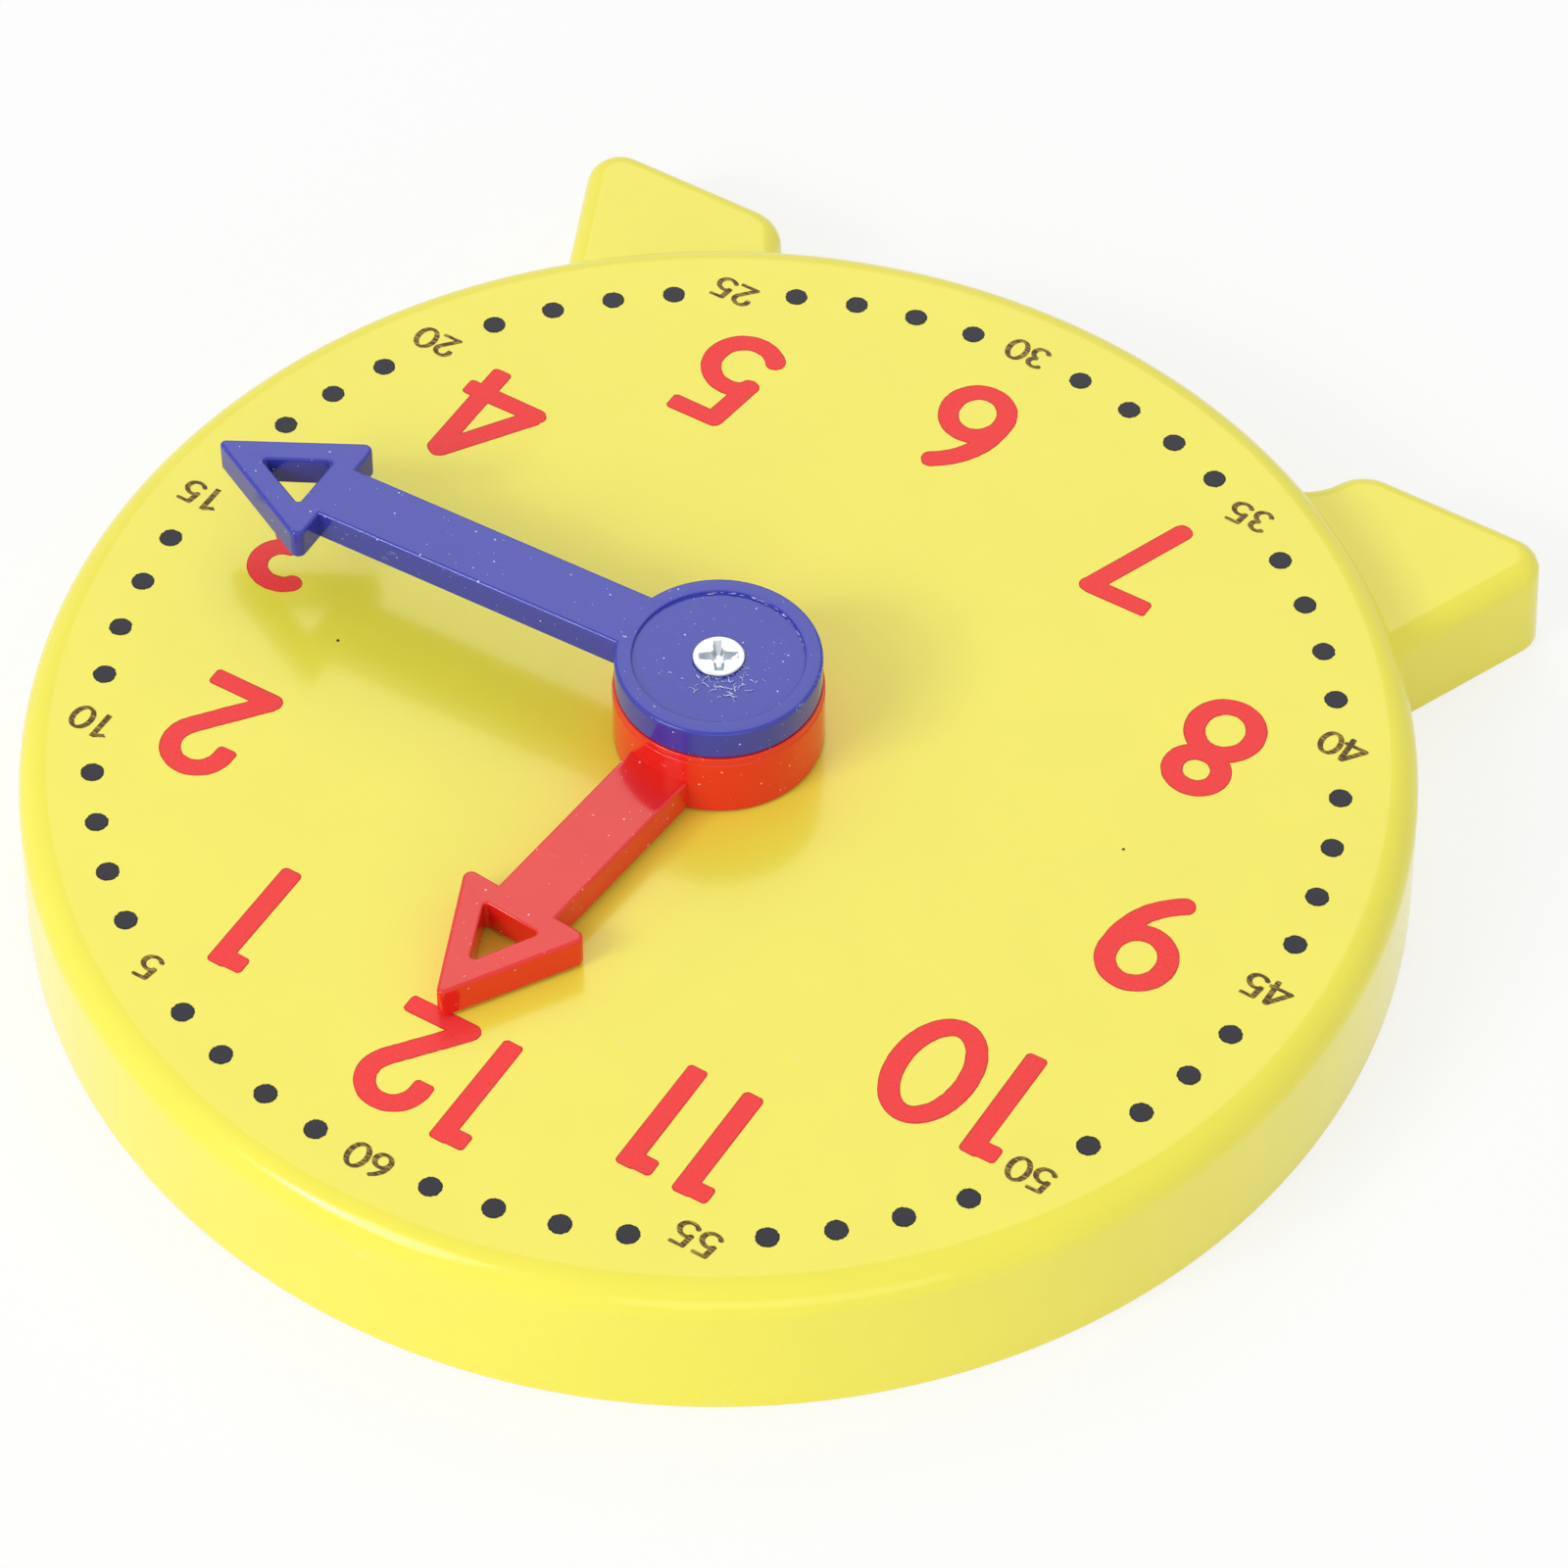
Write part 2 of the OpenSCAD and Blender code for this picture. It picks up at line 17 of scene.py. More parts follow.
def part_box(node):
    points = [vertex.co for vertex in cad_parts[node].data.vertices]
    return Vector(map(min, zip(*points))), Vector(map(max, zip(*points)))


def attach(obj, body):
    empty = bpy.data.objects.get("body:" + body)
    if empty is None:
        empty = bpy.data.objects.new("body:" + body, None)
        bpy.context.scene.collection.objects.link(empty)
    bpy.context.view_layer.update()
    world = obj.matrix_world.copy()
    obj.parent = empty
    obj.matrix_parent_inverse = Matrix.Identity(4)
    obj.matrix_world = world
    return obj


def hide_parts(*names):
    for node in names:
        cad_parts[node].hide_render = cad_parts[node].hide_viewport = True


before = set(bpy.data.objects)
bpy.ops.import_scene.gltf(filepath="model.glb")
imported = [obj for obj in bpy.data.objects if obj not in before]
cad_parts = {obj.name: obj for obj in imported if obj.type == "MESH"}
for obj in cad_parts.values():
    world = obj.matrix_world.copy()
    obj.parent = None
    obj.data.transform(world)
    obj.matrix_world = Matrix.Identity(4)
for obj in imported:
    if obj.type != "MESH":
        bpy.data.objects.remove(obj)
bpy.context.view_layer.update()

MM = 0.001
random.seed(12)


# ---- Sizes, in millimetres, as in the model's source ----
#
# _R is a radius, _H a height, _T a thickness, _W a width, _L a length, _C a chamfer or clearance, and _Z a
# height above the back rim.

def top_of(node):
    """Highest z of a model node."""
    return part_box(node)[1].z / MM


def bottom_of(node):
    """Lowest z of a model node."""
    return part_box(node)[0].z / MM


CASE_H = top_of("case")
CASE_R = 50.0
CASE_DRAFT = 0.25
CASE_EDGE_R = 2.2
DIAL_T = 1.8
INNER_R = 47.4
INNER_CORNER_R = 0.6
REBATE_R = 48.4
REBATE_C = 0.2
RIM_EDGE_R = 0.25
CEILING_Z = CASE_H - DIAL_T
CEILING_BOSS_R = 5.8
CEILING_BOSS_H = 0.4
TUBE_HOLE_R = 3.65
TUBE_HOLE_EDGE_R = 0.2
# The flat of the dial has a ring of points this far from each of its rounded edges, to keep its shading flat
EDGE_MARGIN = 0.3
HOLE_MARGIN = 0.4

FOOT_GROUND_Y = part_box("case")[0].y / MM
FOOT_OUT_X = -FOOT_GROUND_Y * math.tan(math.radians(40.3))
FOOT_SOLE = 18.9
FOOT_IN_X = FOOT_OUT_X - FOOT_SOLE
FOOT_LEAN = math.radians(23.5)
FOOT_T = 8.2
FOOT_OUTER_R = 2.5
FOOT_INNER_R = 3.5
FOOT_FILLET_R = 4.2
FOOT_EDGE_R = 1.5
FOOT_DRAFT = 0.24
FOOT_ROOT_R = 48.1
FOOT_SINK = 0.3
FOOT_WALL = 1.6
FOOT_RIB_T = 1.2

COVER_Z = 0.6
COVER_TOP_Z = 2.2
COVER_R = 48.2
COVER_EDGE_R = 0.2
COVER_PAD_R = 7.8
COVER_PAD_Z = bottom_of("back_cover")
COVER_PAD_EDGE_R = 0.15
BEARING_BOSS_R = 4.2
BEARING_R = 2.05
BEARING_Z = 2.7
BLIND_Z = 1.2
SCREW_ANGLES = (90, 210, 330)
SCREW_RING_R = 41.0
POST_R = 3.0
POST_HOLE_TOP_Z = 7.2
POST_RIB_T = 1.4
POST_RIB_Z = 3.2

PIN_AT = (0, -20.0)
PIN_BOSS_R = 2.8
PIN_BOSS_Z = 9.1
PIN_HOLE_R = 1.03
PIN_HOLE_TOP_Z = 10.9
PIN_SOCKET_Z = 3.0
# The tool that deepens the pin's hole starts here, below its boss
PIN_CUT_Z = 8.5
# How far a boss, or a post or rib, reaches into the wall that it stands on, and a cutting tool out of it
BOSS_SINK = 0.4
ROOT_SINK = 0.5
CUT = 1.0

HOUR_ANGLE = 4.6
MINUTE_ANGLE = 88.4
ARM_W = 5.0
HEAD_W = 10.9
HEAD_L = 10.4
HEAD_CORNER_R = 0.6
TIP_R = 0.4
WINDOW_BACK = 1.8
WINDOW_L = 4.75
WINDOW_W = 4.8
WINDOW_CORNER_R = 0.26
HAND_EDGE_R = 0.25
WINDOW_EDGE_R = 0.18
HAND_FOOT_R = 0.1
WINDOW_FOOT_R = 0.08

HOUR_REACH = 32.6
HOUR_HUB_Z = bottom_of("hour_hand")
HOUR_HUB_TOP_Z = top_of("hour_hand")
HOUR_HUB_R = 7.52
HOUR_HUB_EDGE_R = 0.1
HOUR_BAND_R = 7.46
HOUR_BAND_Z = HOUR_HUB_TOP_Z - 0.62
HOUR_STEP_R = 0.08
HOUR_ARM_START = 5.6
HOUR_ARM_Z = HOUR_HUB_Z + 0.2
HOUR_ARM_T = 2.6
HOUR_BORE_R = 3.63

MINUTE_REACH = 41.95
MINUTE_Z = bottom_of("minute_hand")
MINUTE_TOP_Z = top_of("minute_hand")
MINUTE_HUB_R = 7.35
RECESS_R = 6.1
RECESS_EDGE_R = 0.1
RECESS_CORNER_R = 0.06
RECESS_Z = MINUTE_TOP_Z - 0.25
HUB_ROOF_T = 1.0
MINUTE_BORE_R = 2.23

SHANK_R = 1.0
HOLE_R = 1.03
HAND_HEAD_R = 1.84
HAND_RIM_H = 0.25
HAND_SCREW_L = 6.2
HAND_SCREW_TURN = 33
COVER_HEAD_R = 2.1
COVER_RIM_H = 0.15
COVER_SCREW_L = 6.0
COVER_SCREW_TURN = 44
SCREW_POINT_H = 1.0
SEAT_C = 0.03
SEAT_CONE_H = 0.9
SEAT_DISH_W = 0.25
SEAT_DISH_H = 0.02

# Sides of the case's circles, the hour hub's, smaller ones and small bores, and steps of a rounded edge
ROUND_STEPS = 240
HUB_STEPS = 160
SMALL_STEPS = 96
BORE_STEPS = 48
EDGE_STEPS = 4


# ---- Flat outlines: lists of (x, y), with the solid on the left ----

def circle(radius, steps=SMALL_STEPS, centre=(0, 0)):
    return [(centre[0] + radius * math.cos(math.tau * i / steps),
             centre[1] + radius * math.sin(math.tau * i / steps)) for i in range(steps)]


def arc(centre, radius, start, end, steps=EDGE_STEPS):
    """Points of an arc from one angle to another, in degrees. The radius may be one number or (rx, ry)."""
    rx, ry = radius if isinstance(radius, tuple) else (radius, radius)
    angles = [math.radians(start + (end - start) * i / steps) for i in range(steps + 1)]
    return [(centre[0] + rx * math.cos(a), centre[1] + ry * math.sin(a)) for a in angles]


def top_edge(r, z, radius, steps=EDGE_STEPS):
    """The rounded top edge of a profile of (radius, z), in place of its corner at (r, z)."""
    return arc((r - radius, z - radius), radius, 0, 90, steps)


def foot_edge(r, z, radius):
    """The rounded bottom edge of such a profile."""
    return arc((r - radius, z + radius), radius, -90, 0)


def polar(radius, degrees):
    a = math.radians(degrees)
    return (radius * math.cos(a), radius * math.sin(a))


def turn(loop, degrees):
    a = math.radians(degrees)
    return [(x * math.cos(a) - y * math.sin(a), x * math.sin(a) + y * math.cos(a)) for x, y in loop]


def mirrored(loop):
    return [(-x, y) for x, y in reversed(loop)]


def corner(before, at, after, radius, steps=6):
    """The arc that rounds one corner of an outline."""
    at = Vector(at)
    u = (Vector(before) - at).normalized()
    v = (Vector(after) - at).normalized()
    half = u.angle(v) / 2
    middle = at + (u + v).normalized() * radius / math.sin(half)
    first = at + u * radius / math.tan(half) - middle
    swing = (math.pi - 2 * half) * (1 if (at - Vector(before)).cross(Vector(after) - at) > 0 else -1)
    turns = [Matrix.Rotation(swing * k / steps, 2) for k in range(steps + 1)]
    return [tuple(middle + t @ first) for t in turns]


def ragged(loop, dx, dy):
    """The outline with every point moved by chance, by up to dx and dy."""
    return [(x + random.uniform(-dx, dx), y + random.uniform(-dy, dy)) for x, y in loop]


def inset(loop, gap):
    """The outline moved towards the solid, on its left."""
    if not gap:
        return loop
    moved_in = []
    for i, here in enumerate(loop):
        a = (Vector(here) - Vector(loop[i - 1])).normalized()
        b = (Vector(loop[(i + 1) % len(loop)]) - Vector(here)).normalized()
        na, nb = Vector((-a.y, a.x)), Vector((-b.y, b.x))
        moved_in.append(tuple(Vector(here) + (na + nb) * gap / (1 + na.dot(nb))))
    return moved_in


def edge_levels(low, high, low_r, high_r, low_steps=EDGE_STEPS, high_steps=EDGE_STEPS):
    """Pairs (inset, z) up a wall whose bottom and top edges are rounded."""
    return (arc((low_r, low + low_r), low_r, -90, -180, low_steps)
            + arc((high_r, high - high_r), high_r, 180, 90, high_steps))


# ---- Meshes ----

# The triangulation gives every triangle, with the outlines it lies in
CDT_ALL = 0
# Points closer than this, in millimetres, count as one in a cap and in the print
CAP_TOUCH = 1e-6
PRINT_TOUCH = 1e-5
# Points closer than this, in metres, are merged after a cut
SLIVER = 2e-6
# Edges steeper than this, in degrees, are shaded as sharp, and large faces lead the shading by this weight
SHARP = 32
FACE_WEIGHT = 80


def new_object(name, data):
    thing = bpy.data.objects.new(name, data)
    bpy.context.scene.collection.objects.link(thing)
    return thing


class Skin:
    """Collects rings of points and the faces between them into one closed mesh."""

    def __init__(self):
        self.points = []
        self.faces = []

    def ring(self, loop, z):
        first = len(self.points)
        self.points += [(x, y, z) for x, y in loop]
        return list(range(first, len(self.points)))

    def bridge(self, rings):
        for a, b in zip(rings, rings[1:]):
            self.faces += [(a[i - 1], a[i], b[i], b[i - 1]) for i in range(len(a))]

    def cap(self, *rings):
        """Fills the flat area inside the first ring and outside the others."""
        ids, outlines = [], []
        for ring in rings:
            flat = [self.points[i] for i in ring]
            area = sum(a[0] * b[1] - b[0] * a[1] for a, b in zip(flat, flat[1:] + flat[:1]))
            outline = list(range(len(ids), len(ids) + len(ring)))
            outlines.append(outline if area > 0 else outline[::-1])
            ids += ring
        flat = [Vector(self.points[i][:2]) for i in ids]
        _, _, triangles, origin, _, outline_of = delaunay_2d_cdt(flat, [], outlines, CDT_ALL, CAP_TOUCH)
        self.faces += [tuple(ids[origin[v][0]] for v in face)
                       for face, inside in zip(triangles, outline_of) if list(inside) == [0]]

    def solid(self, rings):
        """Joins rings by a wall and caps its two ends."""
        self.bridge(rings)
        self.cap(rings[0])
        self.cap(rings[-1])
        return self

    def wall(self, loop, low, high, low_r, high_r):
        """A wall on an outline with its bottom and top edges rounded. Gives its lowest and highest ring."""
        rings = [self.ring(inset(loop, gap), z) for gap, z in edge_levels(low, high, low_r, high_r)]
        self.bridge(rings)
        return rings[0], rings[-1]

    def turned(self, profile, steps=SMALL_STEPS, centre=(0, 0), closed=False):
        """Turns a profile of (radius, z) about a vertical axis. An open profile is capped at both ends."""
        rings = [self.ring(circle(r, steps, centre), z) for r, z in profile]
        if not closed:
            return self.solid(rings)
        self.bridge(rings + rings[:1])
        return self

    def prism(self, loop, low, high):
        return self.solid([self.ring(loop, low), self.ring(loop, high)])

    def object(self, name):
        mesh = bpy.data.meshes.new(name)
        mesh.from_pydata([(x * MM, y * MM, z * MM) for x, y, z in self.points], [], self.faces)
        work = bmesh.new()
        work.from_mesh(mesh)
        bmesh.ops.recalc_face_normals(work, faces=work.faces)
        work.to_mesh(mesh)
        work.free()
        return new_object(name, mesh)


def merge_slivers(mesh):
    """Takes out the points that lie on each other after a cut, and the faces without area between them."""
    work = bmesh.new()
    work.from_mesh(mesh)
    bmesh.ops.remove_doubles(work, verts=work.verts, dist=SLIVER)
    bmesh.ops.dissolve_degenerate(work, dist=SLIVER, edges=work.edges)
    bmesh.ops.triangulate(work, faces=[f for f in work.faces if len(f.verts) > 4])
    work.to_mesh(mesh)
    work.free()


def carve(piece, operation, tools):
    """Joins the tools to a piece or takes them off it, and deletes them."""
    for tool in tools:
        step = piece.modifiers.new("carve", "BOOLEAN")
        step.solver = "EXACT"
        step.operation = operation
        step.object = tool
    whole = bpy.data.meshes.new_from_object(piece.evaluated_get(bpy.context.evaluated_depsgraph_get()))
    piece.modifiers.clear()
    piece.data = whole
    merge_slivers(whole)
    for tool in tools:
        bpy.data.objects.remove(tool)


def finish(piece, material, body, nodes=()):
    """Shades a piece, gives it its material and lets it ride on its body."""
    mesh = piece.data
    mesh.materials.clear()
    mesh.materials.append(material)
    mesh.polygons.foreach_set("use_smooth", [True] * len(mesh.polygons))
    mesh.set_sharp_from_angle(angle=math.radians(SHARP))
    weighted = piece.modifiers.new("weighted", "WEIGHTED_NORMAL")
    weighted.keep_sharp = True
    weighted.weight = FACE_WEIGHT
    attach(piece, body)
    if nodes:
        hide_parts(*nodes)
    return piece


# ---- Materials ----

WHITE = (1, 1, 1, 1)


class Nodes:
    """A tree of shader nodes, with short calls for the kinds that the scene needs."""

    def __init__(self, tree):
        self.tree = tree
        tree.nodes.clear()

    def put(self, value, socket):
        """Links a node's output to a socket, or sets the socket to a plain value."""
        if isinstance(value, bpy.types.NodeSocket):
            self.tree.links.new(value, socket)
        else:
            socket.default_value = value

    def add(self, kind, **values):
        """A new node. A key with a capital letter is a socket, with _ for a space. Others are settings."""
        node = self.tree.nodes.new(kind)
        for key, value in values.items():
            if key[0].isupper():
                self.put(value, node.inputs[key.replace("_", " ")])
            else:
                setattr(node, key, value)
        return node

    def math(self, operation, a, b):
        node = self.add("ShaderNodeMath", operation=operation)
        self.put(a, node.inputs[0])
        self.put(b, node.inputs[1])
        return node.outputs[0]

    def mix_shaders(self, factor, a, b):
        """Shader a where the factor is 0, b where it is 1."""
        node = self.add("ShaderNodeMixShader")
        for socket, value in zip(node.inputs, (factor, a, b)):
            self.put(value, socket)
        return node.outputs[0]

    def not_a_light_ray(self):
        """1 for camera, glossy and transmission rays, 0 for those that carry light to the object."""
        path = self.add("ShaderNodeLightPath").outputs
        seen = self.math("MAXIMUM", path["Is Camera Ray"], path["Is Glossy Ray"])
        return self.math("MAXIMUM", seen, path["Is Transmission Ray"])


class Shader(Nodes):
    """A piece's material: one principled shader and the patterns for it, whose scales are per millimetre."""

    def __init__(self, name, **sockets):
        self.material = bpy.data.materials.new(name)
        self.material.use_nodes = True
        super().__init__(self.material.node_tree)
        self.shader = self.add("ShaderNodeBsdfPrincipled", **sockets)
        self.add("ShaderNodeOutputMaterial", Surface=self.shader.outputs[0])
        place = self.add("ShaderNodeTexCoord").outputs["Object"]
        self.mm = self.add("ShaderNodeVectorMath", operation="SCALE", Scale=1 / MM, Vector=place).outputs[0]

    def noise(self, scale, detail, stretch=None, roughness=0.5):
        """Noise, which can be turned by an angle and scaled by a factor along each axis."""
        place = self.mm
        if stretch:
            angle, factors = stretch
            place = self.add("ShaderNodeMapping", Vector=place, Rotation=(0, 0, math.radians(angle)),
                             Scale=factors).outputs[0]
        return self.add("ShaderNodeTexNoise", Vector=place, Scale=scale, Detail=detail,
                        Roughness=roughness).outputs[0]

    def spread(self, value, low, high, to_low=0, to_high=1):
        """Maps low..high of a value to to_low..to_high, and holds it there beyond."""
        return self.add("ShaderNodeMapRange", Value=value, From_Min=low, From_Max=high, To_Min=to_low,
                        To_Max=to_high).outputs[0]

    def clouds(self, scale, detail):
        """Soft patches from 0 to 1."""
        return self.spread(self.noise(scale, detail), 0.35, 0.65)

    def uneven(self, value, middle, share):
        """Noise mapped to a middle value, up to a share of it more or less."""
        return self.spread(value, 0.3, 0.7, middle * (1 - share), middle * (1 + share))

    def specks(self, scale, size, share):
        """1 in small scattered spots: size is a spot's radius in cells, share how many cells have one."""
        cells = self.add("ShaderNodeTexVoronoi", Vector=self.mm, Scale=scale).outputs
        lot = self.add("ShaderNodeSeparateColor", Color=cells["Color"]).outputs[0]
        return self.math("MULTIPLY", self.math("LESS_THAN", cells["Distance"], size),
                         self.math("LESS_THAN", lot, share))

    def faded(self, factor, strength):
        return self.math("MULTIPLY", factor, strength)

    def blend(self, factor, a, b):
        """Colour a where the factor is 0, b where it is 1."""
        node = self.add("ShaderNodeMix", data_type="RGBA")
        for socket, value in ((0, factor), (6, a), (7, b)):
            self.put(value, node.inputs[socket])
        return node.outputs[2]

    def bump(self, height, distance, strength):
        return self.add("ShaderNodeBump", Height=height, Strength=strength,
                        Distance=distance * MM).outputs[0]

    def wire(self, **sockets):
        for key, value in sockets.items():
            self.put(value, self.shader.inputs[key.replace("_", " ")])
        return self.material


def rgb(r, g, b):
    """An sRGB colour, 0 to 255, as Blender's linear one."""
    def linear(c):
        c /= 255
        return c / 12.92 if c <= 0.04045 else ((c + 0.055) / 1.055) ** 2.4
    return (linear(r), linear(g), linear(b), 1.0)


def shade(colour, factor):
    return tuple(c * factor for c in colour[:3]) + (1.0,)


def moulded(name, colour, roughness, dust, mottle=0.04, scratch_angle=20):
    """Glossy moulded plastic: faint clouding, hairline scratches, dust and a soft orange peel."""
    s = Shader(name, IOR=1.52)
    body = s.blend(s.clouds(0.12, 4), shade(colour, 1 - mottle), shade(colour, 1 + mottle * 0.5))
    hair = s.spread(s.noise(1.0, 2, (scratch_angle, (0.25, 9.0, 1.0)), 0.7), 0.70, 0.76)
    body = s.blend(s.faded(hair, 0.10), body, WHITE)
    spots = s.math("MAXIMUM", s.specks(1.1, 0.075, dust), s.specks(2.3, 0.07, dust * 0.6))
    body = s.blend(s.faded(spots, 0.8), body, rgb(235, 238, 250))
    rough = s.math("ADD", s.uneven(s.noise(0.9, 5), roughness, 0.2), s.faded(hair, 0.2))
    peel = s.bump(s.noise(2.2, 2), 0.004, 0.5)
    return s.wire(Base_Color=body, Roughness=rough, Normal=peel)


def cover_plastic():
    """Moulded plastic with a fine spark-eroded grain, for the back."""
    s = Shader("cover plastic", IOR=1.49)
    body = s.blend(s.clouds(0.1, 4), rgb(246, 232, 98), rgb(251, 239, 112))
    grain = s.noise(7.0, 4, roughness=0.65)
    return s.wire(Base_Color=body, Roughness=s.spread(grain, 0.3, 0.7, 0.42, 0.6),
                  Normal=s.bump(grain, 0.03, 0.6))


def natural_plastic():
    """White unpigmented plastic of the gears, a little translucent and oiled."""
    s = Shader("gear plastic", IOR=1.5, Subsurface_Weight=0.2, Subsurface_Scale=0.001)
    body = s.blend(s.clouds(0.5, 4), rgb(236, 235, 226), rgb(246, 246, 240))
    rough = s.spread(s.noise(1.6, 4), 0.3, 0.7, 0.28, 0.5)
    return s.wire(Base_Color=body, Roughness=rough, Normal=s.bump(s.noise(4.0, 3), 0.004, 0.5))


def zinc(name, bright, dull, roughness, brushed=None):
    """Zinc-plated or ground steel: cloudy plating with fine pits."""
    s = Shader(name, Metallic=1.0)
    body = s.blend(s.clouds(1.4, 5), dull, bright)
    body = s.blend(s.faded(s.specks(6.0, 0.16, 0.22), 0.45), body, shade(dull, 0.55))
    rough = s.uneven(s.noise(3.0, 4), roughness, 0.3)
    return s.wire(Base_Color=body, Roughness=rough, Normal=s.bump(s.noise(5.0, 4, brushed), 0.012, 0.6))


def ink(name, colour, dark, hatch=0.0):
    """Printed ink: fine mottling and, for the fine print, the screen's slanted hatch."""
    s = Shader(name, IOR=1.45, Specular_IOR_Level=0.3)
    fine = s.spread(s.noise(5.0, 5, roughness=0.7), 0.32, 0.68)
    body = s.blend(fine, dark, colour)
    if hatch:
        lines = s.spread(s.noise(1.0, 1, (52, (1.2, 9.0, 1.0))), 0.5, 0.62)
        body = s.blend(s.faded(lines, hatch), body, rgb(196, 162, 62))
    rough = s.spread(fine, 0, 1, 0.34, 0.46)
    return s.wire(Base_Color=body, Roughness=rough, Normal=s.bump(s.noise(6.0, 3), 0.006, 0.5))


def swarf_plastic():
    """Torn plastic, paler than the hub it came from. On the flakes along the recess wall, the same pale
    colour is a painted highlight.
    """
    s = Shader("plastic swarf and painted highlight", IOR=1.49, Roughness=0.25)
    return s.wire(Base_Color=s.blend(s.clouds(3, 3), rgb(150, 158, 225), rgb(240, 243, 252)))


YELLOW = moulded("case plastic", rgb(247, 237, 78), 0.17, 0.012, mottle=0.015)
RED = moulded("hour hand plastic", rgb(234, 36, 27), 0.13, 0.5, scratch_angle=70)
BLUE = moulded("minute hand plastic", rgb(48, 54, 174), 0.13, 0.62, scratch_angle=-10)
COVER = cover_plastic()
GEAR = natural_plastic()
# This material also paints the highlight on the recess wall's flakes
SWARF_AND_HIGHLIGHT = swarf_plastic()
SCREW = zinc("hand screw steel", rgb(216, 221, 226), rgb(190, 196, 203), 0.32)
COVER_SCREW = zinc("cover screw steel", rgb(222, 223, 226), rgb(178, 181, 188), 0.28)
WASHER = zinc("washer steel", rgb(186, 188, 193), rgb(150, 152, 158), 0.3, (0, (1, 6, 1)))
PIN = zinc("pin steel", rgb(206, 207, 210), rgb(172, 174, 179), 0.22, (0, (1, 1, 8)))
RED_INK = ink("hour numeral ink", rgb(253, 70, 70), rgb(243, 54, 56))
RED_RIM = ink("hour numeral ink rim", rgb(222, 52, 44), rgb(190, 40, 36))
DOT_INK = ink("minute dot ink", rgb(48, 47, 57), rgb(36, 35, 44))
DOT_RIM = ink("minute dot ink rim", rgb(34, 28, 26), rgb(22, 18, 18))
FINE_INK = ink("minute numeral ink", rgb(98, 76, 28), rgb(64, 46, 14), 0.7)


# ---- Case and back ----

def foot_lean_x(y, gap):
    """Where a foot's leaning outer edge, moved in by a gap, is at a height."""
    return FOOT_OUT_X - gap / math.cos(FOOT_LEAN) - (y - FOOT_GROUND_Y) * math.tan(FOOT_LEAN)


def lean_point(radius, gap):
    """Where that edge reaches a circle about the hands' axis."""
    u = Vector((-math.sin(FOOT_LEAN), math.cos(FOOT_LEAN)))
    p = Vector((foot_lean_x(FOOT_GROUND_Y, gap), FOOT_GROUND_Y))
    along = p.dot(u)
    return p + u * (-along - math.sqrt(along * along - p.dot(p) + radius * radius))


def below(radius, x):
    """The lower point of a circle about the hands' axis at x."""
    return (x, -math.sqrt(radius * radius - x * x))


def angle_of(point, centre=(0, 0)):
    return math.degrees(math.atan2(point[1] - centre[1], point[0] - centre[0]))


def foot_fillet():
    """Centres of the arc of a foot's inner corner and of the fillet that touches it and the case."""
    inner = Vector((FOOT_IN_X + FOOT_INNER_R, FOOT_GROUND_Y + FOOT_INNER_R))
    far, near = CASE_R - FOOT_SINK + FOOT_FILLET_R, FOOT_INNER_R + FOOT_FILLET_R
    u = inner.normalized()
    along = (far * far - near * near + inner.length_squared) / (2 * inner.length)
    return inner, along * u + math.sqrt(far * far - along * along) * Vector((u.y, -u.x))


def foot_loop(gap, draft):
    """Outline of the foot at +X, its sides moved in by a gap and, but for the sole, by the mould's draft.

    Its root stays inside the case's wall.
    """
    sole_y = FOOT_GROUND_Y + gap
    side = gap + draft
    inner, fillet = foot_fillet()
    inner += Vector((draft, 0))
    fillet += Vector((draft, 0))
    root = lean_point(FOOT_ROOT_R, side)
    outer = corner(root, (foot_lean_x(sole_y, side), sole_y), (inner.x, sole_y), FOOT_OUTER_R - gap)
    towards = angle_of(inner, fillet)
    end = angle_of(fillet)
    return (outer[::-1] + arc((0, 0), FOOT_ROOT_R, angle_of(root), end, 20)
            + arc(fillet, FOOT_FILLET_R + gap, end + 180, towards, 14)
            + arc(inner, FOOT_INNER_R - gap, towards + 180, 270, 12))


def pocket_loops():
    """Outlines of the two hollows of the foot at +X, one on each side of its rib."""
    low = FOOT_GROUND_Y + FOOT_WALL
    left = FOOT_IN_X + FOOT_WALL
    right = foot_lean_x(low, FOOT_WALL)
    rib_l, rib_r = (left + right - FOOT_RIB_T) / 2, (left + right + FOOT_RIB_T) / 2
    lean = lean_point(CASE_R, FOOT_WALL)
    inner = corner(below(CASE_R, left), (left, low), (rib_l, low), FOOT_INNER_R - FOOT_WALL) + [(rib_l, low)]
    inner += arc((0, 0), CASE_R, angle_of(below(CASE_R, rib_l)), angle_of(below(CASE_R, left)), 8)
    outer = [(rib_r, low)] + corner((rib_r, low), (right, low), lean, FOOT_OUTER_R - FOOT_WALL)
    outer += arc((0, 0), CASE_R, angle_of(lean), angle_of(below(CASE_R, rib_r)), 8)
    return inner, outer


def foot_skin(side):
    """One foot, side 1 at +X or -1 at -X, with the draft of its mould and rounded edges."""
    skin = Skin()
    rings = []
    for gap, z in edge_levels(0, FOOT_T, RIM_EDGE_R, FOOT_EDGE_R, 3, 9):
        loop = foot_loop(gap, FOOT_DRAFT * (2 * z / FOOT_T - 1))
        rings.append(skin.ring(loop if side > 0 else mirrored(loop), z))
    return skin.solid(rings)


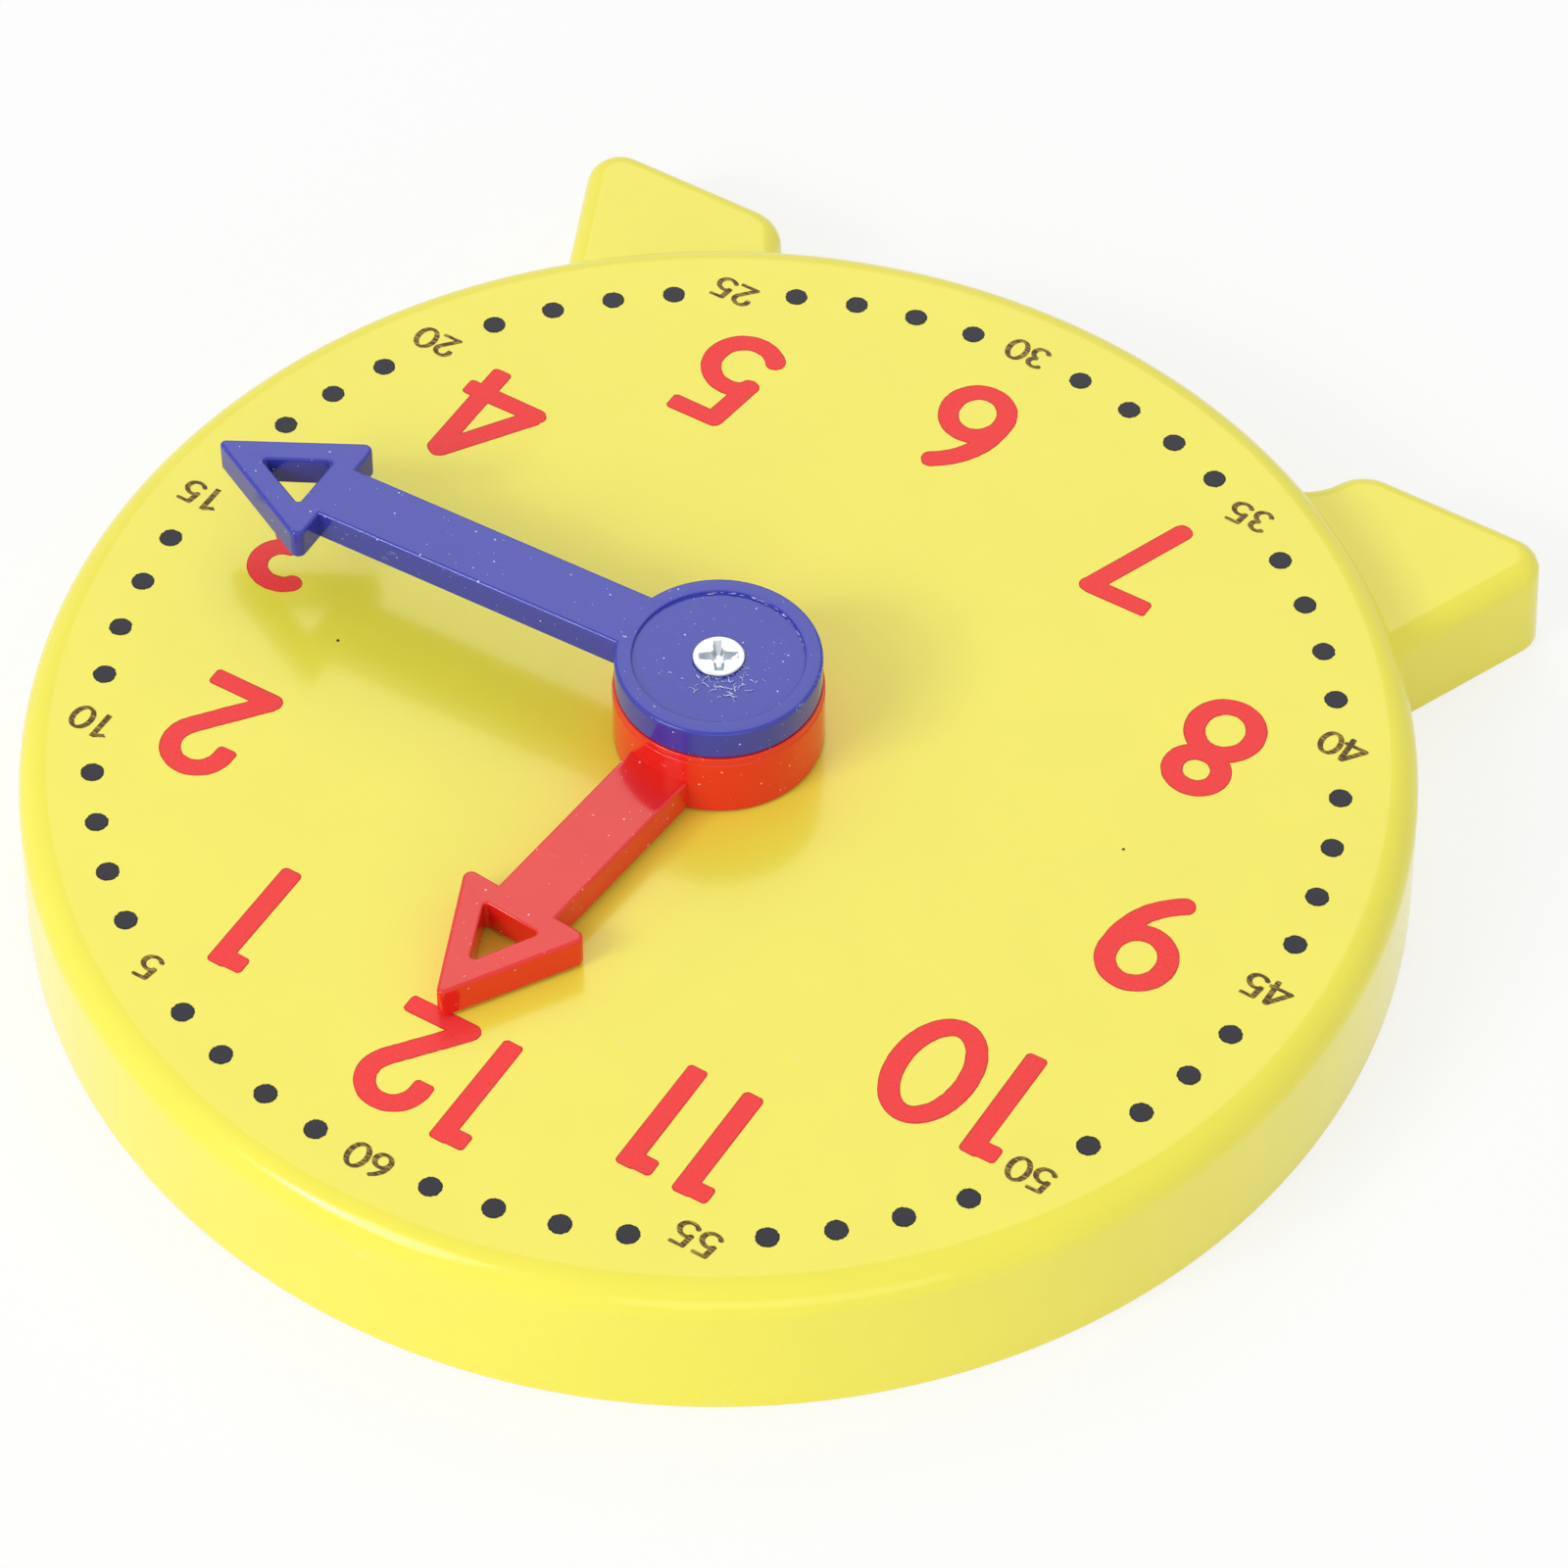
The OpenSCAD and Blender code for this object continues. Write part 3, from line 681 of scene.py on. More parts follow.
def case_profile():
    """The case without feet and posts: from the back rim up, in over the dial and down again inside."""
    side_r = CASE_R - CASE_DRAFT
    hole_edge_r = TUBE_HOLE_R + TUBE_HOLE_EDGE_R
    boss_z = CEILING_Z - CEILING_BOSS_H
    return (foot_edge(CASE_R, 0, RIM_EDGE_R)
            + [(CASE_R - CASE_DRAFT / 2, (CASE_H - CASE_EDGE_R) / 2)]
            + top_edge(side_r, CASE_H, CASE_EDGE_R, 14)
            + [(side_r - CASE_EDGE_R - EDGE_MARGIN, CASE_H), (hole_edge_r + HOLE_MARGIN, CASE_H)]
            + arc((hole_edge_r, CASE_H - TUBE_HOLE_EDGE_R), TUBE_HOLE_EDGE_R, 90, 180)
            + [(TUBE_HOLE_R, boss_z), (CEILING_BOSS_R, boss_z), (CEILING_BOSS_R, CEILING_Z)]
            + arc((INNER_R - INNER_CORNER_R, CEILING_Z - INNER_CORNER_R), INNER_CORNER_R, 90, 0)
            + [(INNER_R, COVER_TOP_Z), (REBATE_R, COVER_TOP_Z), (REBATE_R, REBATE_C),
               (REBATE_R + REBATE_C, 0)])


SCREW_PLACES = [polar(SCREW_RING_R, angle) for angle in SCREW_ANGLES]


def bored(profile, centre):
    """A small round solid of a profile, for the screws' posts and holes and the pin's bosses and holes."""
    return Skin().turned(profile, BORE_STEPS, centre).object("tool")


def post(centre):
    return bored([(HOLE_R, POST_HOLE_TOP_Z), (HOLE_R, COVER_TOP_Z), (POST_R, COVER_TOP_Z),
                  (POST_R, CEILING_Z + ROOT_SINK)], centre)


def post_rib(angle):
    start, end = SCREW_RING_R + POST_R - ROOT_SINK, INNER_R + ROOT_SINK
    side = POST_RIB_T / 2
    loop = turn([(start, -side), (end, -side), (end, side), (start, side)], angle)
    return Skin().prism(loop, POST_RIB_Z, CEILING_Z + ROOT_SINK).object("rib")


def build_case():
    piece = Skin().turned(case_profile(), ROUND_STEPS, closed=True).object("clock_case")
    boss = [(PIN_HOLE_R, PIN_HOLE_TOP_Z), (PIN_HOLE_R, PIN_BOSS_Z), (PIN_BOSS_R, PIN_BOSS_Z),
            (PIN_BOSS_R, PIN_HOLE_TOP_Z + BOSS_SINK)]
    carve(piece, "UNION", [foot_skin(side).object("foot") for side in (1, -1)]
          + [post(place) for place in SCREW_PLACES]
          + [post_rib(angle) for angle in SCREW_ANGLES]
          + [bored(boss, PIN_AT)])
    hollows = [Skin().prism(loop, -CUT, FOOT_T - FOOT_WALL).object("hollow")
               for pocket in pocket_loops() for loop in (pocket, mirrored(pocket))]
    pin_hole = bored([(PIN_HOLE_R, PIN_CUT_Z), (PIN_HOLE_R, PIN_HOLE_TOP_Z)], PIN_AT)
    carve(piece, "DIFFERENCE", hollows + [pin_hole])
    finish(piece, YELLOW, "case", ["case"])


def build_cover():
    profile = (foot_edge(COVER_PAD_R, COVER_PAD_Z, COVER_PAD_EDGE_R)
               + [(COVER_PAD_R, COVER_Z)]
               + foot_edge(COVER_R, COVER_Z, COVER_EDGE_R)
               + top_edge(COVER_R, COVER_TOP_Z, COVER_EDGE_R)
               + [(BEARING_BOSS_R, COVER_TOP_Z), (BEARING_BOSS_R, BEARING_Z), (BEARING_R, BEARING_Z),
                  (BEARING_R, BLIND_Z)])
    piece = Skin().turned(profile, ROUND_STEPS).object("cover")
    boss = [(PIN_HOLE_R, BLIND_Z), (PIN_HOLE_R, PIN_SOCKET_Z), (PIN_BOSS_R, PIN_SOCKET_Z),
            (PIN_BOSS_R, COVER_TOP_Z - BOSS_SINK)]
    carve(piece, "UNION", [bored(boss, PIN_AT)])
    head_r, cone_z = COVER_HEAD_R + SEAT_C, COVER_Z + COVER_RIM_H + SEAT_C
    seat = [(head_r, COVER_Z - CUT), (head_r, cone_z), (HOLE_R, cone_z + COVER_HEAD_R - SHANK_R),
            (HOLE_R, COVER_TOP_Z + CUT)]
    socket = bored([(PIN_HOLE_R, BLIND_Z), (PIN_HOLE_R, PIN_SOCKET_Z + CUT)], PIN_AT)
    carve(piece, "DIFFERENCE", [bored(seat, place) for place in SCREW_PLACES] + [socket])
    finish(piece, COVER, "case", ["back_cover"])


# ---- Screws ----

# The cross recess: its span and arm width as shares of the head's radius, and its depth below the head's rim
CROSS_SPAN = 1.48
CROSS_W = 0.38
CROSS_DEPTH = 0.35


def cross_loop(across, width, wear):
    """Outline of a screw's cross recess: a plus with soft inner corners, a little chewed by the driver."""
    arm, side = across / 2, width / 2
    upper = [(side * 1.5, side), (arm * 0.62, side * 1.02), (arm, side * 0.82)]
    points = upper + [(x, -y) for x, y in reversed(upper)]
    loop = []
    for quarter in range(4):
        loop += turn(ragged(points, wear, wear)[::-1], 90 * quarter)
    return loop


def screw_skin(head_r, rim_h, length, edge, wear):
    """A countersunk screw with its flat top at z = 0, pointing down."""
    skin = Skin()
    cone = head_r - SHANK_R
    profile = [(SHANK_R / 3, -length), (SHANK_R, SCREW_POINT_H - length), (SHANK_R, -rim_h - cone),
               (head_r, -rim_h)] + top_edge(head_r, 0, edge)
    rings = [skin.ring(circle(r), z) for r, z in profile]
    skin.bridge(rings)
    skin.cap(rings[0])
    depth = rim_h + CROSS_DEPTH
    mouth = cross_loop(head_r * CROSS_SPAN, head_r * CROSS_W, wear)
    levels = [(1.05, 0.0), (1.0, -0.06), (0.80, -depth * 0.6), (0.45, -depth)]
    cross = [skin.ring([(x * k, y * k) for x, y in mouth], z) for k, z in levels]
    skin.bridge(cross)
    skin.cap(rings[-1], cross[0])
    skin.cap(cross[-1])
    return skin


def placed(skin, at, degrees, flip=False):
    """Moves a screw to its place, turned about its axis and, at the back, upside down."""
    up = -1 if flip else 1
    flat = turn([(x, up * y) for x, y, _ in skin.points], degrees)
    skin.points = [(at[0] + x, at[1] + y, at[2] + up * p[2]) for (x, y), p in zip(flat, skin.points)]
    return skin


def build_screws():
    screw = placed(screw_skin(HAND_HEAD_R, HAND_RIM_H, HAND_SCREW_L, edge=0.09, wear=0.03),
                   (0, 0, MINUTE_TOP_Z), HAND_SCREW_TURN)
    finish(screw.object("centre_screw"), SCREW, "minute", ["hand_screw"])
    for i, (x, y) in enumerate(SCREW_PLACES):
        screw = placed(screw_skin(COVER_HEAD_R, COVER_RIM_H, COVER_SCREW_L, edge=0.08, wear=0.02),
                       (x, y, COVER_Z), COVER_SCREW_TURN * i, flip=True)
        piece = finish(screw.object("back_screw_%d" % (i + 1)), COVER_SCREW, "case")
        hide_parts("cover_screws")


# ---- Hands ----

def arrow_loop(reach, arm_start):
    """Outline of an arm and arrowhead along +X, from the arm's lower start round to its upper one."""
    back, side = reach - HEAD_L, ARM_W / 2
    neck_low, neck_high = (back, -side), (back, side)
    low, tip, high = (back, -HEAD_W / 2), (reach, 0), (back, HEAD_W / 2)
    return ([(arm_start, -side), neck_low]
            + corner(neck_low, low, tip, HEAD_CORNER_R)
            + corner(low, tip, high, TIP_R)
            + corner(tip, high, neck_high, HEAD_CORNER_R)
            + [neck_high, (arm_start, side)])


def window_loop(reach):
    """Outline of the arrowhead's window, with the solid on its left."""
    back = reach - HEAD_L + WINDOW_BACK
    points = [(back, -WINDOW_W / 2), (back, WINDOW_W / 2), (back + WINDOW_L, 0)]
    return [p for i in range(3)
            for p in corner(points[i - 1], points[i], points[(i + 1) % 3], WINDOW_CORNER_R)]


def hand_walls(skin, loop, reach, angle, low, high):
    """The walls round a hand at its clock angle and in its window, each as its lowest and highest ring."""
    spin = 90 - angle
    return (skin.wall(turn(loop, spin), low, high, HAND_FOOT_R, HAND_EDGE_R),
            skin.wall(turn(window_loop(reach), spin), low, high, WINDOW_FOOT_R, WINDOW_EDGE_R))


def build_hour_hand():
    profile = ([(HOUR_BORE_R, HOUR_HUB_Z)]
               + foot_edge(HOUR_HUB_R, HOUR_HUB_Z, HOUR_HUB_EDGE_R)
               + top_edge(HOUR_HUB_R, HOUR_BAND_Z, HOUR_STEP_R)
               + [(HOUR_BAND_R, HOUR_BAND_Z)]
               + top_edge(HOUR_BAND_R, HOUR_HUB_TOP_Z, HOUR_HUB_EDGE_R)
               + [(HOUR_BORE_R, HOUR_HUB_TOP_Z)])
    piece = Skin().turned(profile, HUB_STEPS, closed=True).object("hand_hour")
    skin = Skin()
    outer, window = hand_walls(skin, arrow_loop(HOUR_REACH, HOUR_ARM_START), HOUR_REACH, HOUR_ANGLE,
                               HOUR_ARM_Z, HOUR_ARM_Z + HOUR_ARM_T)
    skin.cap(outer[0], window[0])
    skin.cap(outer[1], window[1])
    carve(piece, "UNION", [skin.object("arm")])
    finish(piece, RED, "hour", ["hour_hand"])


def build_minute_hand():
    half = math.degrees(math.asin(ARM_W / 2 / MINUTE_HUB_R))
    start = MINUTE_HUB_R * math.cos(math.radians(half))
    loop = arc((0, 0), MINUTE_HUB_R, half, 360 - half, 120)[1:-1] + arrow_loop(MINUTE_REACH, start)
    skin = Skin()
    top = MINUTE_TOP_Z
    outer, window = hand_walls(skin, loop, MINUTE_REACH, MINUTE_ANGLE, MINUTE_Z, top)
    seat_r, socket_z = HAND_HEAD_R + SEAT_C, RECESS_Z - HUB_ROOF_T
    profile = (arc((RECESS_R + RECESS_EDGE_R, top - RECESS_EDGE_R), RECESS_EDGE_R, 90, 180)
               + arc((RECESS_R - RECESS_CORNER_R, RECESS_Z + RECESS_CORNER_R), RECESS_CORNER_R, 0, -90)
               + [(seat_r + SEAT_DISH_W, RECESS_Z), (seat_r, RECESS_Z - SEAT_DISH_H),
                  (HOLE_R, RECESS_Z - SEAT_CONE_H), (HOLE_R, socket_z), (MINUTE_BORE_R, socket_z),
                  (MINUTE_BORE_R, MINUTE_Z)])
    rings = [skin.ring(circle(r), z) for r, z in profile]
    skin.bridge(rings)
    skin.cap(outer[1], window[1], rings[0])
    skin.cap(outer[0], window[0], rings[-1])
    finish(skin.object("hand_minute"), BLUE, "minute", ["minute_hand"])


# ---- Print on the dial ----

# The ink is as thick as this above the dial, and its darker rim lies a little lower and shows round its face
INK_H = 0.022
RIM_INK_H = 0.012
RIM_W = 0.07
INK_SINK = 0.01
RIM_RAGGED = 0.02
# The whole print is off the case's centre by this
PRINT_SHIFT = (-0.13, -0.21)

# How much the end of a pen stroke is rounded: not at all, at its two corners, or all round
FLAT, SOFT, FULL = 0.0, 0.36, 0.72
# Share of a stroke's side that a rounded corner may take up
CORNER_ROOM = 0.95
# Distance between the points of a stroke's middle line, and the room kept clear of them at a rounded end
LINE_STEP = 0.3
END_ROOM = 0.78
# How far each half of a closed ring goes on into the other at its ends, in degrees
BOWL_OVERLAP = 8


def curve(a, control, b, steps):
    """Points of a curve from a to b that leaves and arrives pointing at a control point."""
    ts = [i / steps for i in range(steps + 1)]
    return [tuple((1 - t) ** 2 * a[k] + 2 * t * (1 - t) * control[k] + t * t * b[k] for k in (0, 1))
            for t in ts]


def bowl(centre, radius):
    """A closed ring, as two strokes that overlap at their ends."""
    return [(arc(centre, radius, start - BOWL_OVERLAP, start + 180 + BOWL_OVERLAP, 32), FLAT, FLAT)
            for start in (0, 180)]


# A numeral is a list of pen strokes: the points of a stroke's middle line and how its two ends are rounded.
# A single point is a spot of the pen. A numeral is drawn about its own middle, 9.7 mm high.
NUMERALS = {
    "0": bowl((0, 0), (2.5, 4.13)),
    "1": [([(0.59, 4.85), (0.59, -4.85)], SOFT, SOFT), ([(-1.39, 4.03), (1.0, 4.03)], SOFT, FLAT)],
    "2": [([(-2.05, 1.15), (-2.05, 1.75)] + arc((0.0, 2.0), 2.05, 178, -38, 34)
           + curve((1.55, 0.62), (0.3, -0.95), (-2.12, -3.95), 8), SOFT, FLAT),
          ([(-2.15, -4.07), (2.95, -4.07)], FLAT, SOFT), ([(-2.15, -4.07)], FLAT, FLAT)],
    "3": [(arc((-0.1, 2.3), (1.97, 1.82), 163, -88, 34), FULL, SOFT),
          (arc((-0.1, -1.85), (2.12, 2.25), 90, -163, 34), SOFT, FULL)],
    "4": [([(1.72, 4.2), (1.72, -4.85)], FLAT, SOFT), ([(-2.85, -2.2), (3.35, -2.2)], FLAT, SOFT),
          ([(1.48, 4.3), (-2.87, -2.05)], FLAT, FLAT), ([(-2.85, -2.18)], FLAT, FLAT),
          ([(1.5, 4.3)], FLAT, FLAT), ([(1.7, 4.18)], FLAT, FLAT)],
    "5": [([(-1.2, 4.1), (2.6, 4.1)], FLAT, SOFT), ([(-1.2, 4.1)], FLAT, FLAT),
          ([(-1.2, 4.1), (-1.76, -0.1)], FLAT, FLAT), ([(-1.76, -0.02)], FLAT, FLAT),
          (arc((-0.27, -1.67), (2.43, 2.45), 132, -158, 40), FLAT, FULL)],
    "6": [(curve((1.3, 4.28), (-2.25, 2.3), (-2.17, -1.7), 16), FULL, FLAT)]
    + bowl((0, -1.85), (2.17, 2.28)),
    "7": [([(-2.83, 4.07), (2.05, 4.07)], SOFT, FLAT), ([(2.02, 4.05), (-1.5, -4.6)], FLAT, FULL),
          ([(2.05, 4.05)], FLAT, FLAT)],
    "8": bowl((0, 2.45), (1.78, 1.68)) + bowl((0, -1.85), (2.2, 2.28)),
    "9": [(curve((-1.3, -4.28), (2.25, -2.3), (2.17, 1.7), 16), FULL, FLAT)]
    + bowl((0, 1.85), (2.17, 2.28)),
}
FINE_ONE = [([(0.7, 4.85), (0.7, -4.85)], FLAT, FLAT), ([(0.6, 4.3), (-2.2, 2.6)], FLAT, FLAT)]


def pen(normal, nib):
    """How far an oval nib reaches in a direction."""
    a, b = nib[0] ** 2 * normal.x, nib[1] ** 2 * normal.y
    return Vector((a, b)) / math.sqrt(a * normal.x + b * normal.y)


def distance(a, b):
    return (Vector(b) - Vector(a)).length


def along_at(points, i):
    """Unit vector along a line of points, at one of them."""
    return (Vector(points[min(i + 1, len(points) - 1)]) - Vector(points[max(i - 1, 0)])).normalized()


def stroke(points, nib, start_r, end_r):
    """Outline of a pen stroke, with the corners of its two ends rounded."""
    if len(points) == 1:
        return [(points[0][0] + nib[0] * x, points[0][1] + nib[1] * y) for x, y in circle(1, 24)]
    left, right = [], []
    for i, here in enumerate(points):
        along = along_at(points, i)
        reach = pen(Vector((-along.y, along.x)), nib)
        left.append(tuple(Vector(here) + reach))
        right.append(tuple(Vector(here) - reach))
    loop = right + left[::-1]
    last = len(points) - 1
    radii = {0: start_r, len(loop) - 1: start_r, last: end_r, last + 1: end_r}
    soft = []
    for i, here in enumerate(loop):
        if radii.get(i):
            before, after = loop[i - 1], loop[(i + 1) % len(loop)]
            room = CORNER_ROOM * min(distance(before, here), distance(after, here))
            soft += corner(before, here, after, min(radii[i], room), 5)
        else:
            soft.append(here)
    return soft


def resampled(points):
    """The same line with a point about every step, so that a corner radius fits between its points."""
    lengths = [0.0]
    for a, b in zip(points, points[1:]):
        lengths.append(lengths[-1] + distance(a, b))
    count = max(1, round(lengths[-1] / LINE_STEP))
    out, k = [], 0
    for i in range(count + 1):
        want = lengths[-1] * i / count
        while k < len(points) - 2 and lengths[k + 1] < want:
            k += 1
        t = (want - lengths[k]) / (lengths[k + 1] - lengths[k])
        out.append(tuple(Vector(points[k]).lerp(Vector(points[k + 1]), t)))
    return out


def shortened(points, step):
    """A line of points with both of its ends drawn in by a step."""
    ends = [tuple(Vector(end) - (Vector(end) - Vector(near)).normalized() * step)
            for end, near in ((points[0], points[1]), (points[-1], points[-2]))]
    return [ends[0]] + list(points[1:-1]) + [ends[1]]


def numeral(strokes, nib, shrink=0.0):
    """The stroke outlines of one numeral, with a nib given as its half width and half height."""
    nib = (nib[0] - shrink, nib[1] - shrink)
    most = CORNER_ROOM * min(nib)
    outlines = []
    for points, start_r, end_r in strokes:
        if len(points) > 2:
            fine = resampled(points)
            clear = [p for p in fine[1:-1]
                     if (not start_r or distance(fine[0], p) > END_ROOM)
                     and (not end_r or distance(fine[-1], p) > END_ROOM)]
            points = [fine[0]] + clear + [fine[-1]]
        if shrink and len(points) > 1:
            points = shortened(points, shrink)
        outlines.append(stroke(points, nib, min(start_r, most), min(end_r, most)))
    return outlines


def ink_layer(skin, outlines, height, uneven=0.0):
    """Adds the union of overlapping outlines to a skin as one thin solid, from in the dial to above it."""
    points, faces = [], []
    for loop in outlines:
        faces.append(list(range(len(points), len(points) + len(loop))))
        points += [Vector(p) for p in loop]
    out_points, _, out_faces, _, _, sources = delaunay_2d_cdt(points, [], faces, CDT_ALL, PRINT_TOUCH)
    inside = [f for f, source in zip(out_faces, sources) if source]
    used = sorted({v for f in inside for v in f})
    flat = [out_points[v] + Vector((random.uniform(-uneven, uneven), random.uniform(-uneven, uneven)))
            for v in used]
    low = dict(zip(used, skin.ring(flat, CASE_H - INK_SINK)))
    high = dict(zip(used, skin.ring(flat, CASE_H + height)))
    for f in inside:
        skin.faces += [tuple(high[v] for v in f), tuple(low[v] for v in reversed(f))]
    edges = [edge for f in inside for edge in zip(f, f[1:] + f[:1])]
    count = Counter(frozenset(edge) for edge in edges)
    skin.faces += [(low[a], low[b], high[b], high[a]) for a, b in edges if count[frozenset((a, b))] == 1]


def clock_place(minutes, radius, centre):
    """Where a minute lies on a ring of the print."""
    a = math.tau * minutes / 60
    return (centre[0] + radius * math.sin(a), centre[1] + radius * math.cos(a))


def printed(outlines, at, scale=(1, 1)):
    """Outlines scaled about their own middle and put at a place of the print."""
    return [[(at[0] + x * scale[0] + PRINT_SHIFT[0], at[1] + y * scale[1] + PRINT_SHIFT[1]) for x, y in loop]
            for loop in outlines]


# Rings of the print, each with its radius and centre
HOUR_RING = (35.4, (0.2, 0.8))
MINUTE_RING = (44.35, (0.15, 0.5))
DOT_RING = (44.25, (0.04, 0.53))
HOUR_NIB = (0.79, 0.745)
# How far each digit of a two-digit hour stands from the middle of the pair
HOUR_PAIRS = {10: [(-3.06, "1"), (3.06, "0")], 11: [(-2.22, "1"), (2.22, "1")],
              12: [(-3.4, "1"), (2.5, "2")]}
# Where the hours that are off the ring stand
HOUR_PLACES = {10: (-31.3, 18.5), 11: (-17.45, 31.44), 12: (0.0, 36.2), 1: (18.03, 31.44),
               2: (30.87, 18.57), 5: (17.89, -29.91), 7: (-17.35, -29.99)}
MINUTE_NIB = (0.78, 0.55)
MINUTE_SCALE = (0.272, 0.238)
MINUTE_STEP = 0.88
DOT_R = 0.83
DOT_RIM_W = 0.098
DOT_RAGGED = (0.04, 0.03)
DOT_POINTS = 56


def build_hour_numerals():
    face, rim = Skin(), Skin()
    for hour in range(1, 13):
        at = HOUR_PLACES.get(hour) or clock_place(hour * 5, *HOUR_RING)
        for offset, digit in HOUR_PAIRS.get(hour, [(0.0, str(hour))]):
            place = (at[0] + offset, at[1])
            wide = numeral(NUMERALS[digit], HOUR_NIB)
            narrow = numeral(NUMERALS[digit], HOUR_NIB, RIM_W)
            ink_layer(rim, printed(wide, place), RIM_INK_H, RIM_RAGGED)
            ink_layer(face, printed(narrow, place), INK_H)
    finish(face.object("hour_numerals"), RED_INK, "case")
    finish(rim.object("hour_numeral_rims"), RED_RIM, "case")


def build_minute_numerals():
    skin = Skin()
    for minute in range(5, 61, 5):
        at = clock_place(minute, *MINUTE_RING)
        text = str(minute)
        for i, digit in enumerate(text):
            place = (at[0] + (2 * i - len(text) + 1) * MINUTE_STEP, at[1])
            outlines = numeral(FINE_ONE if digit == "1" else NUMERALS[digit], MINUTE_NIB)
            ink_layer(skin, printed(outlines, place, MINUTE_SCALE), INK_H)
    finish(skin.object("minute_numerals"), FINE_INK, "case")


def build_minute_dots():
    face, rim = Skin(), Skin()
    for minute in range(1, 61):
        if minute % 5:
            at = clock_place(minute, *DOT_RING)
            edge = ragged(circle(DOT_R, DOT_POINTS), *DOT_RAGGED)
            ink_layer(rim, printed([edge], at), RIM_INK_H)
            ink_layer(face, printed([circle(DOT_R - DOT_RIM_W, DOT_POINTS)], at), INK_H)
    finish(face.object("minute_dots"), DOT_INK, "case")
    finish(rim.object("minute_dot_rims"), DOT_RIM, "case")


# ---- Small traces of making and use, and pale flakes that paint a highlight ----

# Curls on the floor of the minute hand's recess and flakes round the screw's head; the pale flakes along the
# recess wall are a painted highlight
CURLS = 44
CURL_STEPS = 7
CURL_RISE = 0.05
FLAKE_LIFT = 0.03
HEAD_FLAKES = 30
RECESS_HIGHLIGHT_FLAKES = 26
# Burrs on the hub's outer edge, in groups: their middle and spread, in degrees, and how many
EDGE_BURRS = ((212, 22, 26), (172, 2.5, 8))
THREAD_SIDES = 4
THREAD_POINT = 0.35


def thread(skin, points, radius):
    """A thin tube with four sides along points in space, thinner at both ends."""
    rings = []
    for i, p in enumerate(points):
        along = along_at(points, i)
        side = along.cross(Vector((0, 0, 1))).normalized()
        up = side.cross(along)
        r = radius * (THREAD_POINT if i in (0, len(points) - 1) else 1)
        first = len(skin.points)
        skin.points += [tuple(Vector(p) + side * r * math.cos(a) + up * r * math.sin(a))
                        for a in (math.tau * k / THREAD_SIDES for k in range(THREAD_SIDES))]
        rings.append(list(range(first, first + THREAD_SIDES)))
    skin.bridge(rings)
    skin.faces += [tuple(rings[0]), tuple(rings[-1])]


def curl(skin):
    """A curl that the screw cut out of the hub."""
    angle = random.gauss(132, 26)
    x, y = polar(random.uniform(1.9, 3.7), angle)
    heading = random.uniform(0, math.tau)
    bend = random.uniform(-2.6, 2.6) / CURL_STEPS
    step = random.uniform(0.2, 0.75) / CURL_STEPS
    points = []
    for k in range(CURL_STEPS + 1):
        points.append((x, y, RECESS_Z + FLAKE_LIFT + CURL_RISE * math.sin(math.pi * k / CURL_STEPS)))
        heading += bend
        x += step * math.cos(heading)
        y += step * math.sin(heading)
    thread(skin, points, random.uniform(0.016, 0.036))


def flake(skin, radius, z, degrees, length, thickness):
    """A sliver that lies along a circle about the hands' axis, over a length given in degrees."""
    line = arc((0, 0), radius, degrees - length / 2, degrees + length / 2)
    thread(skin, [(x, y, z) for x, y in line], thickness * random.uniform(0.6, 1.0))


def head_flake(skin):
    angle = random.uniform(100, 250)
    radius = HAND_HEAD_R + random.uniform(0.02, 0.14)
    flake(skin, radius, RECESS_Z + FLAKE_LIFT, angle, random.uniform(1, 5), 0.03)


# Pale flakes along the far side of the recess wall: a painted highlight, not swarf
def recess_flake(skin):
    radius = RECESS_R - random.uniform(0.0, 0.12)
    z = RECESS_Z + random.uniform(0.08, 0.2)
    flake(skin, radius, z, random.uniform(218, 312), random.uniform(0.8, 5), 0.024)


def edge_burr(skin, middle, spread):
    tilt = math.radians(random.uniform(15, 60))
    radius = MINUTE_HUB_R - HAND_EDGE_R * (1 - math.cos(tilt))
    z = MINUTE_TOP_Z - HAND_EDGE_R * (1 - math.sin(tilt))
    flake(skin, radius, z, random.gauss(middle, spread), random.uniform(0.3, 1.2), 0.026)


def build_swarf():
    skin = Skin()
    for _ in range(CURLS):
        curl(skin)
    for _ in range(HEAD_FLAKES):
        head_flake(skin)
    # Painted highlight: pale flakes along the recess wall
    for _ in range(RECESS_HIGHLIGHT_FLAKES):
        recess_flake(skin)
    for middle, spread, count in EDGE_BURRS:
        for _ in range(count):
            edge_burr(skin, middle, spread)
    # One object holds the real swarf and burrs and the pale flakes that paint the recess wall's highlight
    finish(skin.object("hub_swarf_and_highlight_flakes"), SWARF_AND_HIGHLIGHT, "minute")


# Two dark specks of dirt moulded into the dial
DIAL_SPECKS = [(28.04, 7.12), (-29.66, -5.37)]
SPECK_R = 0.11
SPECK_POINTS = 12


def build_dial_specks():
    skin = Skin()
    for at in DIAL_SPECKS:
        blot = [(x * random.uniform(0.5, 1.3), y * random.uniform(0.5, 1.5))
                for x, y in circle(SPECK_R, SPECK_POINTS)]
        ink_layer(skin, printed([blot], at), INK_H)
    finish(skin.object("dial_specks"), DOT_RIM, "case")


# ---- Nodes that keep their own mesh ----

NODE_MATERIALS = {"idler_gear": GEAR, "minute_arbor": GEAR, "hour_wheel": GEAR, "idler_pin": PIN,
                  "friction_washer": WASHER}


def dress_nodes():
    for name, material in NODE_MATERIALS.items():
        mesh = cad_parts[name].data
        mesh.materials.clear()
        mesh.materials.append(material)


# ---- Stage ----

